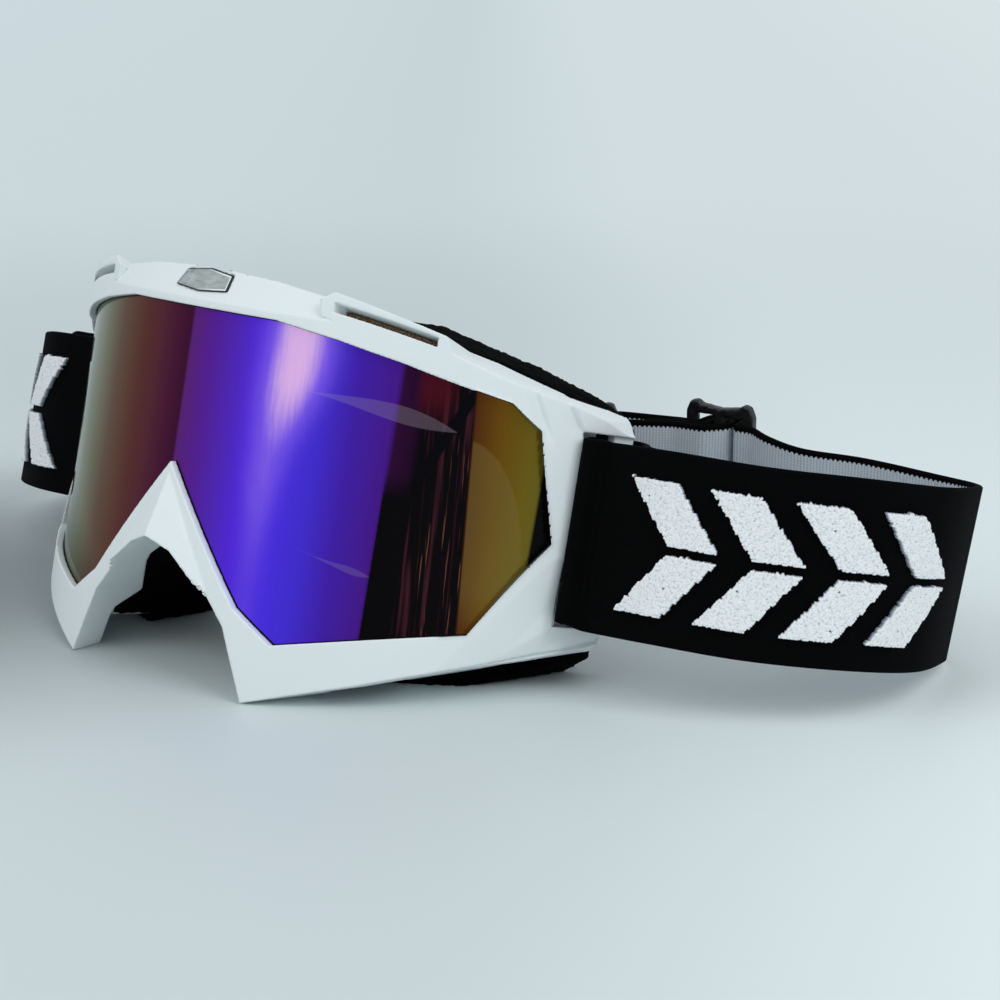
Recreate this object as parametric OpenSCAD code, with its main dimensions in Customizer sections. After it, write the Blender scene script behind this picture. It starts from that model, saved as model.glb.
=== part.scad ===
// Motocross goggles resting on a table, with the elastic strap laid out behind them.
// Millimetres. The table is z = 0 and the lens faces -Y. Right means +X, seen from the front.
// The goggles are drawn upright in their own frame, then leaned back onto the table:
// there, x is across the lens, y is depth from the lens's front, z is up its face.

/* [Lens] */
// Radius of the lens's front face about its upright axis
lens_r = 90; // [86:1:96]
// Thickness of the lens
lens_t = 1.2; // [0.8:0.1:1.6]
// Height of the lens's top edge at the middle, over its lowest edge
lens_h = 75.2; // [73:0.2:76]
// Half of the lens's visible width
lens_half = 80.2; // [78:0.2:81]
// Height of the lens's widest point
lens_wide_z = 33.5; // [28:0.5:40]
// Across to the lens's upper outer corner
lens_shoulder_x = 72; // [68:0.5:74]
// Height of the lens's upper outer corner
lens_shoulder_z = 64.8; // [62:0.2:66]
// Across to the lens's lower outer corner
lens_cheek_x = 70.4; // [64:0.2:74]
// Height of the lens's lower outer corner
lens_cheek_z = 9.9; // [7:0.1:13]
// Across to the lens's lowest corner beside the nose
lens_foot_x = 34; // [32:0.5:40]
// Height of the nose notch's point
notch_h = 37.8; // [34:0.2:42]
// How far the lens runs on under the frame's lip
lens_hold = 1.2; // [0.9:0.1:1.4]
// Clearance of the lens in its groove
lens_gap = 0.15; // [0.1:0.05:0.3]

/* [Frame] */
// How far the frame's face stands in front of the lens
rim_proud = 2; // [1.6:0.1:2.6]
// Depth of the frame's rim, front to back
rim_depth = 5; // [4.6:0.1:6]
// Wall of the frame behind the rim
wall_t = 2.5; // [2:0.1:3.2]
// Height of the brow above the lens's top edge
brow_h = 9.8; // [8:0.2:11]
// Height above the lens's top edge where the brow starts to slope back
brow_slope_from = 1.8; // [1:0.1:3]
// How far the brow's top slopes back
brow_slope_run = 5; // [3:0.5:6]
// How far the frame's feet reach below the lens's lowest edge
foot_drop = 14.8; // [13:0.1:15.2]
// Depth of the frame's feet, front to back
foot_depth = 8; // [6:0.5:10]
// Across to each foot
foot_x = 29.3; // [28:0.1:31]
// Height of the arch over the nose
arch_h = 19.5; // [17:0.5:23]
// How far the nose ridge stands in front of the rim
ridge_proud = 5; // [2:0.5:6]
// Half of the frame's sealed body, behind the rim
body_half = 78.8; // [77:0.2:79.4]
// Depth of the frame's back edge at the middle
back_depth = 24; // [22:0.5:28]
// Radius of the frame's back edge, seen from above
back_r = 106.9; // [100:0.5:115]
// Depth that the frame's wall reaches back to, low beside the nose
nose_depth = 16.5; // [15:0.5:18]

/* [Strap ears] */
// Angle about the lens's axis where each strap slot's mouth starts
slot_from = 63.5; // [63:0.1:64]
// Angle about the lens's axis where each strap slot ends and the bar starts
slot_to = 69; // [68.5:0.1:69.5]
// Angle about the lens's axis where each ear's bar ends
ear_end = 72.5; // [72:0.1:73.5]
// Thickness of each ear's bar
bar_t = 3; // [2.4:0.1:3.4]
// Height of the strap's lower edge in its slot
ear_strap_z = 14.8; // [14:0.1:14.8]
// Room in the slot above and below the strap
slot_room = 0.8; // [0.6:0.1:1.6]

/* [Vents] */
// Across to each hood's inner end
hood_from = 35; // [32:0.5:38]
// Across to each hood's outer end
hood_to = 61; // [56:0.5:64]
// Height of each hood over its slot's lower lip
hood_h = 4.2; // [3.6:0.1:5]
// Height of each hood's slot
hood_slot = 2.2; // [1.6:0.1:2.6]
// Depth of each hood, front to back
hood_depth = 11; // [10:0.5:12]
// How steeply each hood and its slot run down towards the back
hood_tilt = 18; // [14:1:22]
// Across to each lower vent's inner end
low_vent_from = 39.5; // [39:0.5:42]
// Across to each lower vent's outer end
low_vent_to = 50.5; // [46:0.5:51]
// Thickness of the foam film over the lower vents
vent_film = 1.6; // [1:0.1:2.2]
// Room round the foam in the hoods' slots
vent_clear = 0.2; // [0.1:0.05:0.3]

/* [Badge] */
// Half of the badge's width
badge_half = 8.4; // [6:0.2:10]
// Height of the badge at its middle
badge_h = 5.8; // [4.4:0.1:6.2]
// Room round the badge in its pocket
badge_clear = 0.1; // [0.1:0.05:0.3]
// Thickness of the badge
badge_t = 0.9; // [0.6:0.1:1.2]
// How deep the badge is let into the brow
badge_sunk = 0.5; // [0.3:0.1:0.6]

/* [Face foam] */
// Depth of the foam at the middle, behind the frame's back edge
foam_depth = 18; // [14:0.5:22]
// Radius of the foam's back, seen from above
foam_back_r = 129; // [122:1:140]
// Thickness of the fleece on the foam
fleece_t = 1.5; // [1:0.1:2.5]
// How far the foam stands out past the frame's outline
foam_out = 0.3; // [0:0.1:0.8]
// How far the foam's lower edge hangs below the frame's
foam_drop = 3.5; // [2:0.5:4]

/* [Strap] */
// Width of the strap
strap_w = 45; // [42:0.5:46]
// Thickness of the strap
strap_t = 1.6; // [1.2:0.1:1.8]
// Thickness of the raised motifs
motif_t = 1.2; // [0.6:0.1:1.6]
// Width of one arm of a chevron, along the strap
chevron_w = 12.5; // [8:0.5:13]
// How far a chevron's point runs ahead of its ends
chevron_run = 12; // [8:0.5:14]
// Distance from one chevron to the next
chevron_pitch = 19.5; // [18:0.5:20]
// How many chevrons each side has
chevron_count = 4; // [2:1:4]
// Bare margin between a motif and the strap's edge
motif_margin = 6.5; // [4:0.5:9]
// Length of bare strap before the first chevron
motif_from = 9; // [6:1:11]
// Gap between a chevron's upper and lower arms
arm_gap = 1.4; // [0.8:0.2:3]

/* [Strap sliders] */
// Length of each slider along the strap
slider_len = 19; // [18.6:0.1:20]
// Thickness of each slider
slider_t = 2.6; // [2.2:0.1:2.8]
// Width of each slider's bars
slider_bar = 3; // [2.6:0.1:3.1]
// How far each slider stands past the strap's edges
slider_over = 4.9; // [4.4:0.1:5]
// Room in the slider's slots above and below the strap
slider_room = 1.4; // [1.2:0.1:1.6]
// Gap between the strap and what it passes over
weave_gap = 0.25; // [0.2:0.01:0.3]
// Gap between layers of strap that lie on each other
layer_gap = 0.6; // [0.5:0.05:0.7]

/* [Resting] */
// Angle that the goggles lean back
lean = 14.26; // [13.8:0.02:14.6]
// Height of the lens's lowest edge over the table, before the lean is applied
rest_h = 15.37; // [15.2:0.01:15.6]

/* [Hidden] */

big = 400;
eps = 0.01;
round_fn = 180;
rim_r = lens_r + rim_proud;
rim_back_r = rim_r - rim_depth;
badge_z = lens_h + brow_h - badge_h / 2 - 0.4;
// Middle of the whole part, which goes to the origin
centre_x = 9.5075;
centre_y = 67.485;

// Outlines, seen from the front. Each lists its right half from the top middle to the bottom middle.
lens_outline = [
    [0, lens_h], [24, lens_h], [39.5, lens_h - 2.2], [53, lens_h - 5],
    [lens_shoulder_x, lens_shoulder_z], [lens_shoulder_x + 4.6, lens_shoulder_z - 5.4],
    [lens_half, lens_wide_z], [lens_cheek_x, lens_cheek_z], [lens_foot_x, 0],
    [lens_foot_x - 10.3, 7], [0, notch_h]
];
lip_in = [hood_from, lens_h + 4.6];
lip_out = [hood_to - 1.5, lens_h - 0.2];
arch = [
    [foot_x - 7.3, 2.1], [foot_x - 14.8, arch_h - 8.8], [foot_x - 22.8, arch_h - 2.4], [0, arch_h]
];
frame_outline = concat([
    [0, lens_h + brow_h], [20, lens_h + brow_h - 1], [hood_from - 1.5, lens_h + brow_h - 2.8],
    lip_in, lip_out, [72.8, lens_shoulder_z + 4.6], [81.2, lens_shoulder_z + 1.3],
    [84.6, lens_shoulder_z - 0.9], [86.6, lens_shoulder_z - 3.4], [rim_r, lens_shoulder_z - 8],
    [rim_r, 13.5], [87.4, 11.9], [83.5, 8.4], [76.2, 4.6],
    [65.6, -0.2], [52.4, -6], [foot_x, -foot_drop]
], arch);
sole_in = [36, -7.5];
sole_out = [52, -5];
body_outline = concat([
    [0, lens_h + brow_h - 4.8], [20, lens_h + brow_h - 7], [hood_from - 1.5, lens_h + brow_h - 7],
    [hood_from, lip_in[1] - 0.6], [hood_to - 1.5, lip_out[1] - 2], [72, lens_shoulder_z + 3.6],
    [body_half, lens_shoulder_z - 0.5], [body_half, 9], [74, 4.6], [65, 0.3], sole_out, sole_in,
    [foot_x - 4.3, -4.5]
], arch);
foam_outline = [
    for (p = body_outline)
        p[0] > foot_x && p[1] < lens_cheek_z ? [p[0], p[1] - foam_drop] : p
];
eye_opening = [
    [0, 71.5], [20, 71.5], [40, 69], [56, 64.5], [64.5, 57], [66, 34], [63, 18], [55, 9], [42, 4],
    [32, 4], [22, 14], [10, 29], [0, 34]
];
badge_outline = [
    [0, badge_h / 2], [badge_half - 0.8, badge_h / 2 - 1], [badge_half, 0.8 - badge_h / 2],
    [0, -badge_h / 2]
];

// Both halves of an outline, going round once
function both_sides(half) = concat(
    half,
    [for (i = [len(half) - 1:-1:0]) if (half[i][0] > eps) [-half[i][0], half[i][1]]]
);

function unit(v) = v / norm(v);

function turned_left(v) = [-v[1], v[0]];

// A whole outline moved out by d all round, with its corners kept sharp
function grown(points, d) = [
    for (i = [0:len(points) - 1])
        let (
            n = len(points),
            before = turned_left(unit(points[i] - points[(i + n - 1) % n])),
            after = turned_left(unit(points[(i + 1) % n] - points[i]))
        )
        points[i] + d * (before + after) / (1 + before * after)
];

// Depth of a face of radius r about the lens's axis, x across from the middle
function face_y(x, r) = lens_r - sqrt(r * r - x * x);

// An outline seen from the front, drawn out from depth y0 to depth y1
module slab(y0, y1) {
    translate([0, y1, 0])
        rotate([90, 0, 0])
            linear_extrude(y1 - y0)
                children();
}

module outline(half, out = 0) {
    polygon(grown(both_sides(half), out));
}

// A ring about the lens's axis, over the whole height
module drum(r0, r1) {
    translate([0, lens_r, -big / 2])
        difference() {
            cylinder(r = r1, h = big, $fn = round_fn);
            translate([0, 0, -1])
                cylinder(r = r0, h = big + 2, $fn = round_fn);
        }
}

// Everything behind an upright round face whose front is at depth y at the middle
module behind(r, y) {
    translate([0, y + r, -big / 2])
        cylinder(r = r, h = big, $fn = round_fn);
}

// The rim's front face with the sloped brow, moved out by d
module face_envelope(d) {
    slope_z = lens_h + brow_slope_from;
    top_z = lens_h + brow_h;
    r = rim_r + d;
    translate([0, lens_r, 0])
        rotate_extrude($fn = round_fn)
            polygon([
                [0, -big / 8], [r, -big / 8], [r, slope_z], [r - brow_slope_run, top_z],
                [r - 2 * brow_slope_run, 2 * top_z - slope_z], [0, 2 * top_z - slope_z]
            ]);
}

// A block that stands across the rim, centred on angle a about the lens's axis
module at_angle(a) {
    translate([0, lens_r, 0])
        rotate([0, 0, a])
            children();
}

module two_sides() {
    children();
    mirror([1, 0, 0])
        children();
}

module seated() {
    translate([-centre_x, -centre_y, rest_h])
        rotate([-lean, 0, 0])
            children();
}

module laid() {
    translate([-centre_x, -centre_y, 0])
        children();
}

// What stands on the table is cut flat by it
module on_table() {
    intersection() {
        children();
        translate([-big, -big, 0])
            cube(2 * big);
    }
}

module rim() {
    intersection() {
        slab(-big / 8, big / 4)
            outline(frame_outline);
        drum(rim_back_r, rim_r);
    }
}

// The feet beside the nose are deeper than the rest of the rim
module feet() {
    intersection() {
        slab(-big / 8, big / 4)
            difference() {
                outline(frame_outline);
                translate([-big / 2, -1])
                    square(big);
                two_sides()
                    translate([foot_x + 14, -big / 2])
                        square(big);
            }
        drum(rim_r - foot_depth, rim_r);
    }
}

// The wall from the rim back to the face foam, all the way round
module body_wall() {
    difference() {
        intersection() {
            slab(-big / 8, big / 4)
                difference() {
                    outline(body_outline);
                    cavity_outline();
                }
            translate([0, lens_r, -big / 2])
                cylinder(r = rim_r - 1, h = big, $fn = round_fn);
        }
        behind(back_r, back_depth);
        nose_zone();
    }
}

module cavity_outline() {
    outline(body_outline, -wall_t);
}

// Over the nose the foam comes forward. Its front runs back and down to the tip of the wall that is
// left beside the nose, and forward again under it.
module nose_zone() {
    half = foot_x - 3.5;
    rim_back_y = face_y(half, rim_back_r) + 0.3;
    foot_back_y = face_y(half, rim_r - foot_depth) + 0.3;
    top_z = arch_h + wall_t + 0.5;
    tip_z = arch[0][1];
    far = big / 8;
    rotate([90, 0, 90])
        translate([0, 0, -half])
            linear_extrude(2 * half)
                polygon([
                    [rim_back_y, top_z], [rim_back_y, arch_h - 6.3], [nose_depth, tip_z],
                    [foot_back_y, tip_z - 4.9], [foot_back_y, -far], [far, -far], [far, top_z]
                ]);
}

// The nose ridge runs forward from the notch's point to the arch
module ridge() {
    low_x = foot_x - 7.8;
    mid_x = foot_x - 14.8;
    hull() {
        for (p = [
            [0, -rim_proud + 0.2, notch_h - 2],
            [0, -rim_proud - ridge_proud, arch_h],
            [0, 1, notch_h - 2],
            [0, 1, arch_h]
        ])
            translate(p)
                cube(eps);
        for (side = [-1, 1]) {
            for (y = [face_y(mid_x, rim_r) - ridge_proud / 2, 2])
                translate([side * mid_x, y, arch_h - 8.8])
                    cube(eps);
            for (y = [face_y(low_x, rim_r) + 0.1, 3])
                translate([side * low_x, y, 1])
                    cube(eps);
        }
    }
}

// What the nose needs clear, below the arch and between the feet
module nose_gap() {
    slab(-big / 8, big / 4)
        outline(concat(
            [for (i = [len(arch) - 1:-1:0]) arch[i]],
            [[foot_x, -foot_drop], [foot_x, -big / 8], [0, -big / 8]]
        ));
}

// What runs back and down from an outline on the rim's face, between two radii about the lens's axis
module tilted_back(points, r0, r1) {
    intersection() {
        rotate([-hood_tilt, 0, 0])
            slab(-big / 8, big / 4)
                polygon([
                    for (p = points)
                        [p[0], face_y(p[0], rim_r) * sin(hood_tilt) + p[1] * cos(hood_tilt)]
                ]);
        drum(r0, r1);
    }
}

module hood() {
    tilted_back([
        [hood_from - 0.5, lip_in[1] - 2], [hood_from - 1, lens_h + brow_h - 3.2],
        [hood_from + 2, lip_in[1] + hood_h], [hood_to - 1, lip_out[1] + hood_h - 1.2],
        [hood_to + 0.4, lip_out[1] - 0.5], [hood_to - 1, lip_out[1] - 2.5]
    ], rim_r - hood_depth, rim_r);
}

// Height of the hood slot's lower lip at x
function lip_z(x) = lip_in[1] + (x - lip_in[0]) * (lip_out[1] - lip_in[1]) / (lip_out[0] - lip_in[0]);

// The hood's slot, with a room all round that is negative where something fits inside it
function hood_slot_outline(room) =
    let (
        x0 = hood_from + 2.2 - room,
        x1 = hood_to - 2.4 + room
    )
    [
        [x0, lip_z(x0) - room], [x1, lip_z(x1) - room],
        [x1, lip_z(x1) + hood_slot + room], [x0, lip_z(x0) + hood_slot + room]
    ];

hood_slot_back = rim_r - hood_depth + 2;

module hood_cuts() {
    tilted_back(hood_slot_outline(0), hood_slot_back, rim_r + 5);
    // The way down into the goggles, under the foam
    x0 = hood_from + 5;
    x1 = hood_to - 5;
    tilted_back([
        [x0, lip_z(x0) - 2 * wall_t - 1], [x1, lip_z(x1) - 2 * wall_t - 1],
        [x1, lip_z(x1) + eps], [x0, lip_z(x0) + eps]
    ], hood_slot_back + 1, rim_back_r);
}

module vent_foam() {
    tilted_back(hood_slot_outline(-vent_clear), hood_slot_back + vent_clear, rim_r - 4);
}

// Height of the body's inner floor at x, beside the nose
function floor_z(x) = sole_in[1] + (x - sole_in[0]) * (sole_out[1] - sole_in[1]) / (sole_out[0] - sole_in[0])
    + wall_t * 1.03;

low_vent_r = rim_r - foot_depth - 2;

module low_vent_cut() {
    intersection() {
        slab(-big / 8, big / 4)
            translate([low_vent_from, sole_in[1] - wall_t])
                square([low_vent_to - low_vent_from, 4 * wall_t]);
        drum(low_vent_r - 6, low_vent_r);
    }
}

module low_vent_film() {
    x0 = low_vent_from - 1.5;
    x1 = low_vent_to + 1;
    intersection() {
        slab(-big / 8, big / 4)
            polygon([
                [x0, floor_z(x0) + vent_clear], [x1, floor_z(x1) + vent_clear],
                [x1, floor_z(x1) + vent_film], [x0, floor_z(x0) + vent_film]
            ]);
        drum(low_vent_r - 7.5, low_vent_r + 1.5);
    }
}

// A point at radius r and angle a about the lens's axis, seen from above
function about(a, r) = [r * sin(a), lens_r - r * cos(a)];

// The slot that the strap's end goes through, and the bar thinned beside it, outside the sealed body
module ear_cuts() {
    z0 = ear_strap_z - slot_room;
    h = strap_w + 2 * slot_room;
    thinned = (rim_depth - bar_t) / 2;
    translate([0, 0, z0])
        linear_extrude(h)
            polygon([
                about(slot_from, rim_r + 10), about(slot_from, rim_r),
                [body_half, face_y(body_half, rim_back_r)],
                about(slot_to, body_half / sin(slot_to)), about(slot_to, rim_r + 10)
            ]);
    intersection() {
        translate([body_half, -big / 2, z0])
            cube([big, big, h]);
        at_angle(slot_to)
            translate([-1, -rim_r - 10, 0])
                cube([30, 30, big / 4]);
        union() {
            drum(rim_r - thinned, rim_r + 10);
            drum(rim_back_r - 10, rim_back_r + thinned);
        }
    }
    at_angle(ear_end)
        translate([0, -rim_r - 20, -big / 2])
            cube([60, rim_r + 20, big]);
}

module badge_shape(clear) {
    slab(-big / 8, big / 8)
        translate([0, badge_z])
            outline(badge_outline, clear);
}

module frame() {
    color("white")
        on_table()
            seated()
                difference() {
                    union() {
                        intersection() {
                            face_envelope(0);
                            union() {
                                rim();
                                feet();
                                body_wall();
                            }
                        }
                        two_sides()
                            hood();
                        ridge();
                    }
                    nose_gap();
                    lens_window();
                    lens_groove();
                    two_sides() {
                        hood_cuts();
                        low_vent_cut();
                        ear_cuts();
                    }
                    difference() {
                        badge_shape(badge_clear);
                        face_envelope(-badge_sunk);
                    }
                }
}

module lens_window() {
    intersection() {
        slab(-big / 8, big / 4)
            outline(lens_outline);
        drum(lens_r - lens_t / 2, rim_r + 20);
    }
    slab(-big / 8, big / 4)
        intersection() {
            outline(lens_outline);
            cavity_outline();
        }
}

module lens_groove() {
    intersection() {
        slab(-big / 8, big / 4)
            outline(lens_outline, lens_hold + lens_gap);
        drum(lens_r - lens_t - lens_gap, lens_r + lens_gap);
    }
}

module lens() {
    color("mediumblue")
        seated()
            intersection() {
                slab(-big / 8, big / 4)
                    outline(lens_outline, lens_hold);
                drum(lens_r - lens_t, lens_r);
            }
}

module brow_badge() {
    color("silver")
        seated()
            difference() {
                intersection() {
                    badge_shape(0);
                    face_envelope(badge_t - badge_sunk);
                }
                face_envelope(-badge_sunk);
            }
}

module vent_foam_right() {
    color("tan")
        seated()
            vent_foam();
}

module vent_foam_left() {
    color("tan")
        seated()
            mirror([1, 0, 0])
                vent_foam();
}

module lower_vent_foam() {
    color("dimgray")
        seated()
            two_sides()
                low_vent_film();
}

// A layer of the padding that follows the frame's back edge. Its front is its child, and its back
// is an upright round face.
module pad_layer(back_y) {
    on_table()
        seated()
            difference() {
                intersection() {
                    slab(0, big / 4)
                        difference() {
                            outline(foam_outline, foam_out);
                            outline(eye_opening);
                        }
                    children();
                }
                behind(foam_back_r, back_y);
            }
}

module face_foam() {
    color("dimgray")
        pad_layer(back_depth + foam_depth)
            union() {
                behind(back_r, back_depth);
                nose_zone();
            }
}

module fleece_liner() {
    color("black")
        pad_layer(back_depth + foam_depth + fleece_t)
            behind(foam_back_r, back_depth + foam_depth);
}

// Round each ear's bar, from the strap's sewn end to its front: the angle about the lens's axis past
// the slot, then how far out from the rim's face
ear_turns = [
    [1.6, 17.2], [1.3, 13.1], [2.1, 8.4], [5, 1], [5.7, -2.5], [4.5, -5.2], [2.05, -5.75],
    [-0.2, -5.2], [-1.5, -3.2], [-3.1, -1.4], [-4.35, -0.15], [-4.85, 1.05], [-4.4, 2.2], [-3.55, 3]
];

// A turn round an ear's bar, as a row of the route: a point on the middle of the strap's lower edge,
// then how far its upper edge stands off to +X and +Y of that. The lens's middle is at x = 0.
function ear_row(turn, side) =
    let (
        a = slot_to + turn[0],
        r = rim_r + turn[1],
        y = lens_r - r * cos(a)
    )
    [
        side * r * sin(a),
        y * cos(lean) + ear_strap_z * sin(lean),
        ear_strap_z * cos(lean) - y * sin(lean) + rest_h,
        0,
        strap_w * sin(lean)
    ];

// Where the rest of the route is measured from, in front of the right ear's bar
ear_front = ear_row([-3, 2.75], 1);

// A row whose x and y are given out from there, or from the left ear where side is -1
function from_ear(row, side = 1) = [
    side * (ear_front[0] + row[0]), ear_front[1] + row[1], row[2], row[3], row[4]
];

// The rest of the strap's route, as rows given from the ears
right_stations = [
    for (row = [
        [1.9, 0.1, 16.6, 0, 11.1], [20.4, 0.6, 17.5, 0, 9], [41.4, 8.6, 16, 1, 7],
        [59.4, 22.1, 14, 2, 5], [65.4, 43.1, 9, 4, 4.5], [60.9, 64.6, 4, 5.5, 4],
        [55.4, 75.6, 1.5, 5, 3], [45.4, 81.1, 0.3, 3, 1.5], [27.4, 80.6, 1.2, 1, 0.5],
        [13.4, 74.6, 2.6, 1, 0], [4.4, 73.6, 4.2, 0.4, 0]
    ])
        from_ear(row)
];
left_stations = concat(
    [
        for (row = [
            [1.9, 0.1, 16.6, 0, 11.1], [20.4, 1.6, 15.5, 1, 9], [40.4, 12.6, 12, 8, 6],
            [50.4, 29.6, 8.5, 12, 4], [45.4, 43.6, 6.5, 11, 3], [27.4, 50.6, 6, 6, 2],
            [-6.6, 52.6, 5.6, 2, 1]
        ])
            from_ear(row, -1)
    ],
    [for (row = [[-121.6, 51.6, 5.4, 0, 0], [-76.6, 50.6, 5.2, 0, 0]]) from_ear(row)]
);
// Where each slider's middle is, and how far it is turned about the upright axis
right_slider_at = concat(place(from_ear([-12.1, 76.6, 0, 0, 0])), 8);
left_slider_at = concat(place(from_ear([-40.1, 54.1, 0, 0, 0])), 30);
strap_z = 5.2;
end_strap_z = strap_z + 1;
steps = 8;
arm_cells = 4;
motif_off = 0.25;
seam_off = 0.02;
seam_t = 0.4;
seam_margin = 1.5;
reach = slider_len / 2 + 0.7;
hug = slider_t / 2 + strap_t / 2 + weave_gap;
layer = strap_t + layer_gap;
loop_a = slider_bar / 2 + strap_t / 2 + 0.45;
pass_a = loop_a + strap_t + weave_gap + 0.1;
end_ply_len = 10;

// How the other half of the strap passes through a slider, and how the sewn end goes round its
// middle bar, in the slider's frame: along the strap, and away from the goggles
pass_turns = [
    [reach, -hug], [pass_a + 0.6, -hug], [pass_a, hug + strap_t + weave_gap],
    [-pass_a, hug + strap_t + weave_gap], [-pass_a - 0.6, -hug], [-reach, -hug]
];
end_turns = [
    [-reach, -hug - 2 * layer], [0.95 - loop_a, -hug - 2 * layer], [loop_a - 0.45, -hug],
    [loop_a, -hug / 2], [loop_a, hug / 2], [loop_a - 0.45, hug], [0.45 - loop_a, hug],
    [-loop_a, hug / 2], [-loop_a - 0.15, -hug - 0.25], [-loop_a - 0.85, -hug - layer],
    [-reach, -hug - layer]
];

// A smooth curve through rows p, at row number t
function curve_at(p, t) =
    let (
        i = min(floor(t), len(p) - 2),
        f = t - i,
        a = i > 0 ? p[i - 1] : 2 * p[0] - p[1],
        b = p[i],
        c = p[i + 1],
        d = i + 2 < len(p) ? p[i + 2] : 2 * c - b
    )
    (2 * b + (c - a) * f + (2 * a - 5 * b + 4 * c - d) * f * f + (3 * b - a - 3 * c + d) * f * f * f) / 2;

function curve(p) = [for (i = [0:(len(p) - 1) * steps]) curve_at(p, i / steps)];

// A slider's point, a along the strap and n away from the goggles, as a row of the route
function slider_row(slider, turn, flip, z) =
    let (
        a = flip * turn[0],
        n = flip * turn[1]
    )
    [
        slider[0] + a * cos(slider[3]) - n * sin(slider[3]),
        slider[1] + a * sin(slider[3]) + n * cos(slider[3]),
        z, 0, 0
    ];

function rows_between(rows, first, last) = [for (i = [first:last]) rows[i]];

// A row set off from another one, a length along the level line from a to b
function row_off(row, a, b, length) =
    let (
        way = unit([b[0] - a[0], b[1] - a[1]])
    )
    [row[0] + way[0] * length, row[1] + way[1] * length, row[2], 0, 0];

right_pass = [for (turn = pass_turns) slider_row(right_slider_at, turn, 1, strap_z)];
left_pass = [for (turn = pass_turns) slider_row(left_slider_at, turn, -1, strap_z)];
left_end = [for (turn = end_turns) slider_row(right_slider_at, turn, 1, strap_z)];
right_end = [for (turn = end_turns) slider_row(left_slider_at, turn, -1, end_strap_z)];

right_route = concat(
    [for (turn = ear_turns) ear_row(turn, 1)],
    curve(concat(right_stations, [right_pass[0]])),
    rows_between(right_pass, 1, len(right_pass) - 1),
    right_end
);
left_route = concat(
    [for (turn = ear_turns) ear_row(turn, -1)],
    curve(concat(left_stations, [left_pass[0]])),
    rows_between(left_pass, 1, len(left_pass) - 1),
    left_end,
    // The sewn ply runs on beside the strap that leads to the other slider
    [row_off(left_end[len(left_end) - 1], left_end[0], left_pass[len(left_pass) - 1], end_ply_len)]
);

// Where the route's parts start
side_from = len(ear_turns);
fold_from = side_from + 5 * steps;
fold_to = side_from + 7 * steps;
left_side_to = side_from + 5 * steps;
right_rear_to = side_from + len(right_stations) * steps + len(right_pass) - 1;
right_last = len(right_route) - 1;
left_rear_to = side_from + len(left_stations) * steps + len(left_pass) - 1;
left_last = len(left_route) - 1;

function place(row) = [row[0], row[1], row[2]];

function up(row) =
    [row[3], row[4], sqrt(strap_w * strap_w - row[3] * row[3] - row[4] * row[4])] / strap_w;

// The strap's side at row i, which is its outer side where the route runs from the right ear.
// It is longer at a corner, so that the strap keeps its thickness there.
function across(route, i) =
    let (
        before = place(route[max(i, 1)]) - place(route[max(i, 1) - 1]),
        k = min(i, len(route) - 2),
        after = place(route[k + 1]) - place(route[k]),
        sum = unit(cross(before, up(route[i]))) + unit(cross(after, up(route[i])))
    )
    2 * sum / (sum * sum);

// A strip that follows the route from row first to row last, between heights h0 and h1 up the
// strap, and between d0 and d1 out of the strap's middle
module strip(route, first, last, h0, h1, d0, d1) {
    points = [
        for (i = [first:last], hd = [[h0, d0], [h1, d0], [h1, d1], [h0, d1]])
            place(route[i]) + up(route[i]) * hd[0] + across(route, i) * hd[1]
    ];
    sides = [
        for (i = [0:last - first - 1], j = [0:3])
            let (
                a = i * 4 + j,
                b = i * 4 + (j + 1) % 4
            )
            each [[a, b + 4, b], [a, a + 4, b + 4]]
    ];
    end = (last - first) * 4;
    caps = [[0, 1, 2], [0, 2, 3], [end + 2, end + 1, end], [end + 3, end + 2, end]];
    polyhedron(points, concat(caps, sides));
}

module strap_part(route, first, last) {
    color("black")
        laid()
            strip(route, first, last, 0, strap_w, -strap_t / 2, strap_t / 2);
}

module strap_right_loop() {
    strap_part(right_route, 0, side_from);
}

module strap_right_side() {
    strap_part(right_route, side_from, fold_from);
}

module strap_right_fold() {
    strap_part(right_route, fold_from, fold_to);
}

module strap_right_rear() {
    strap_part(right_route, fold_to, right_rear_to);
}

module strap_right_end() {
    strap_part(right_route, right_rear_to, right_last);
}

module strap_left_loop() {
    strap_part(left_route, 0, side_from);
}

module strap_left_side() {
    strap_part(left_route, side_from, left_side_to);
}

module strap_left_rear() {
    strap_part(left_route, left_side_to, left_rear_to);
}

module strap_left_end() {
    strap_part(left_route, left_rear_to, left_last);
}

// A point h up the strap and d out of its middle, at row number q of the route
function skin_at(route, i, h, d) = place(route[i]) + up(route[i]) * h + across(route, i) * d;

function skin(route, q, h, d) =
    let (
        i = floor(q)
    )
    (1 - q + i) * skin_at(route, i, h, d) + (q - i) * skin_at(route, i + 1, h, d);

// Row numbers against the length along the strap from its front, for the strap's side
function lengths(route) = [
    for (
        i = side_from, s = 0;
        i <= fold_from;
        s = s + norm(place(route[i + 1]) - place(route[i])), i = i + 1
    )
        [s, i]
];

right_lengths = lengths(right_route);
left_lengths = lengths(left_route);

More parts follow.
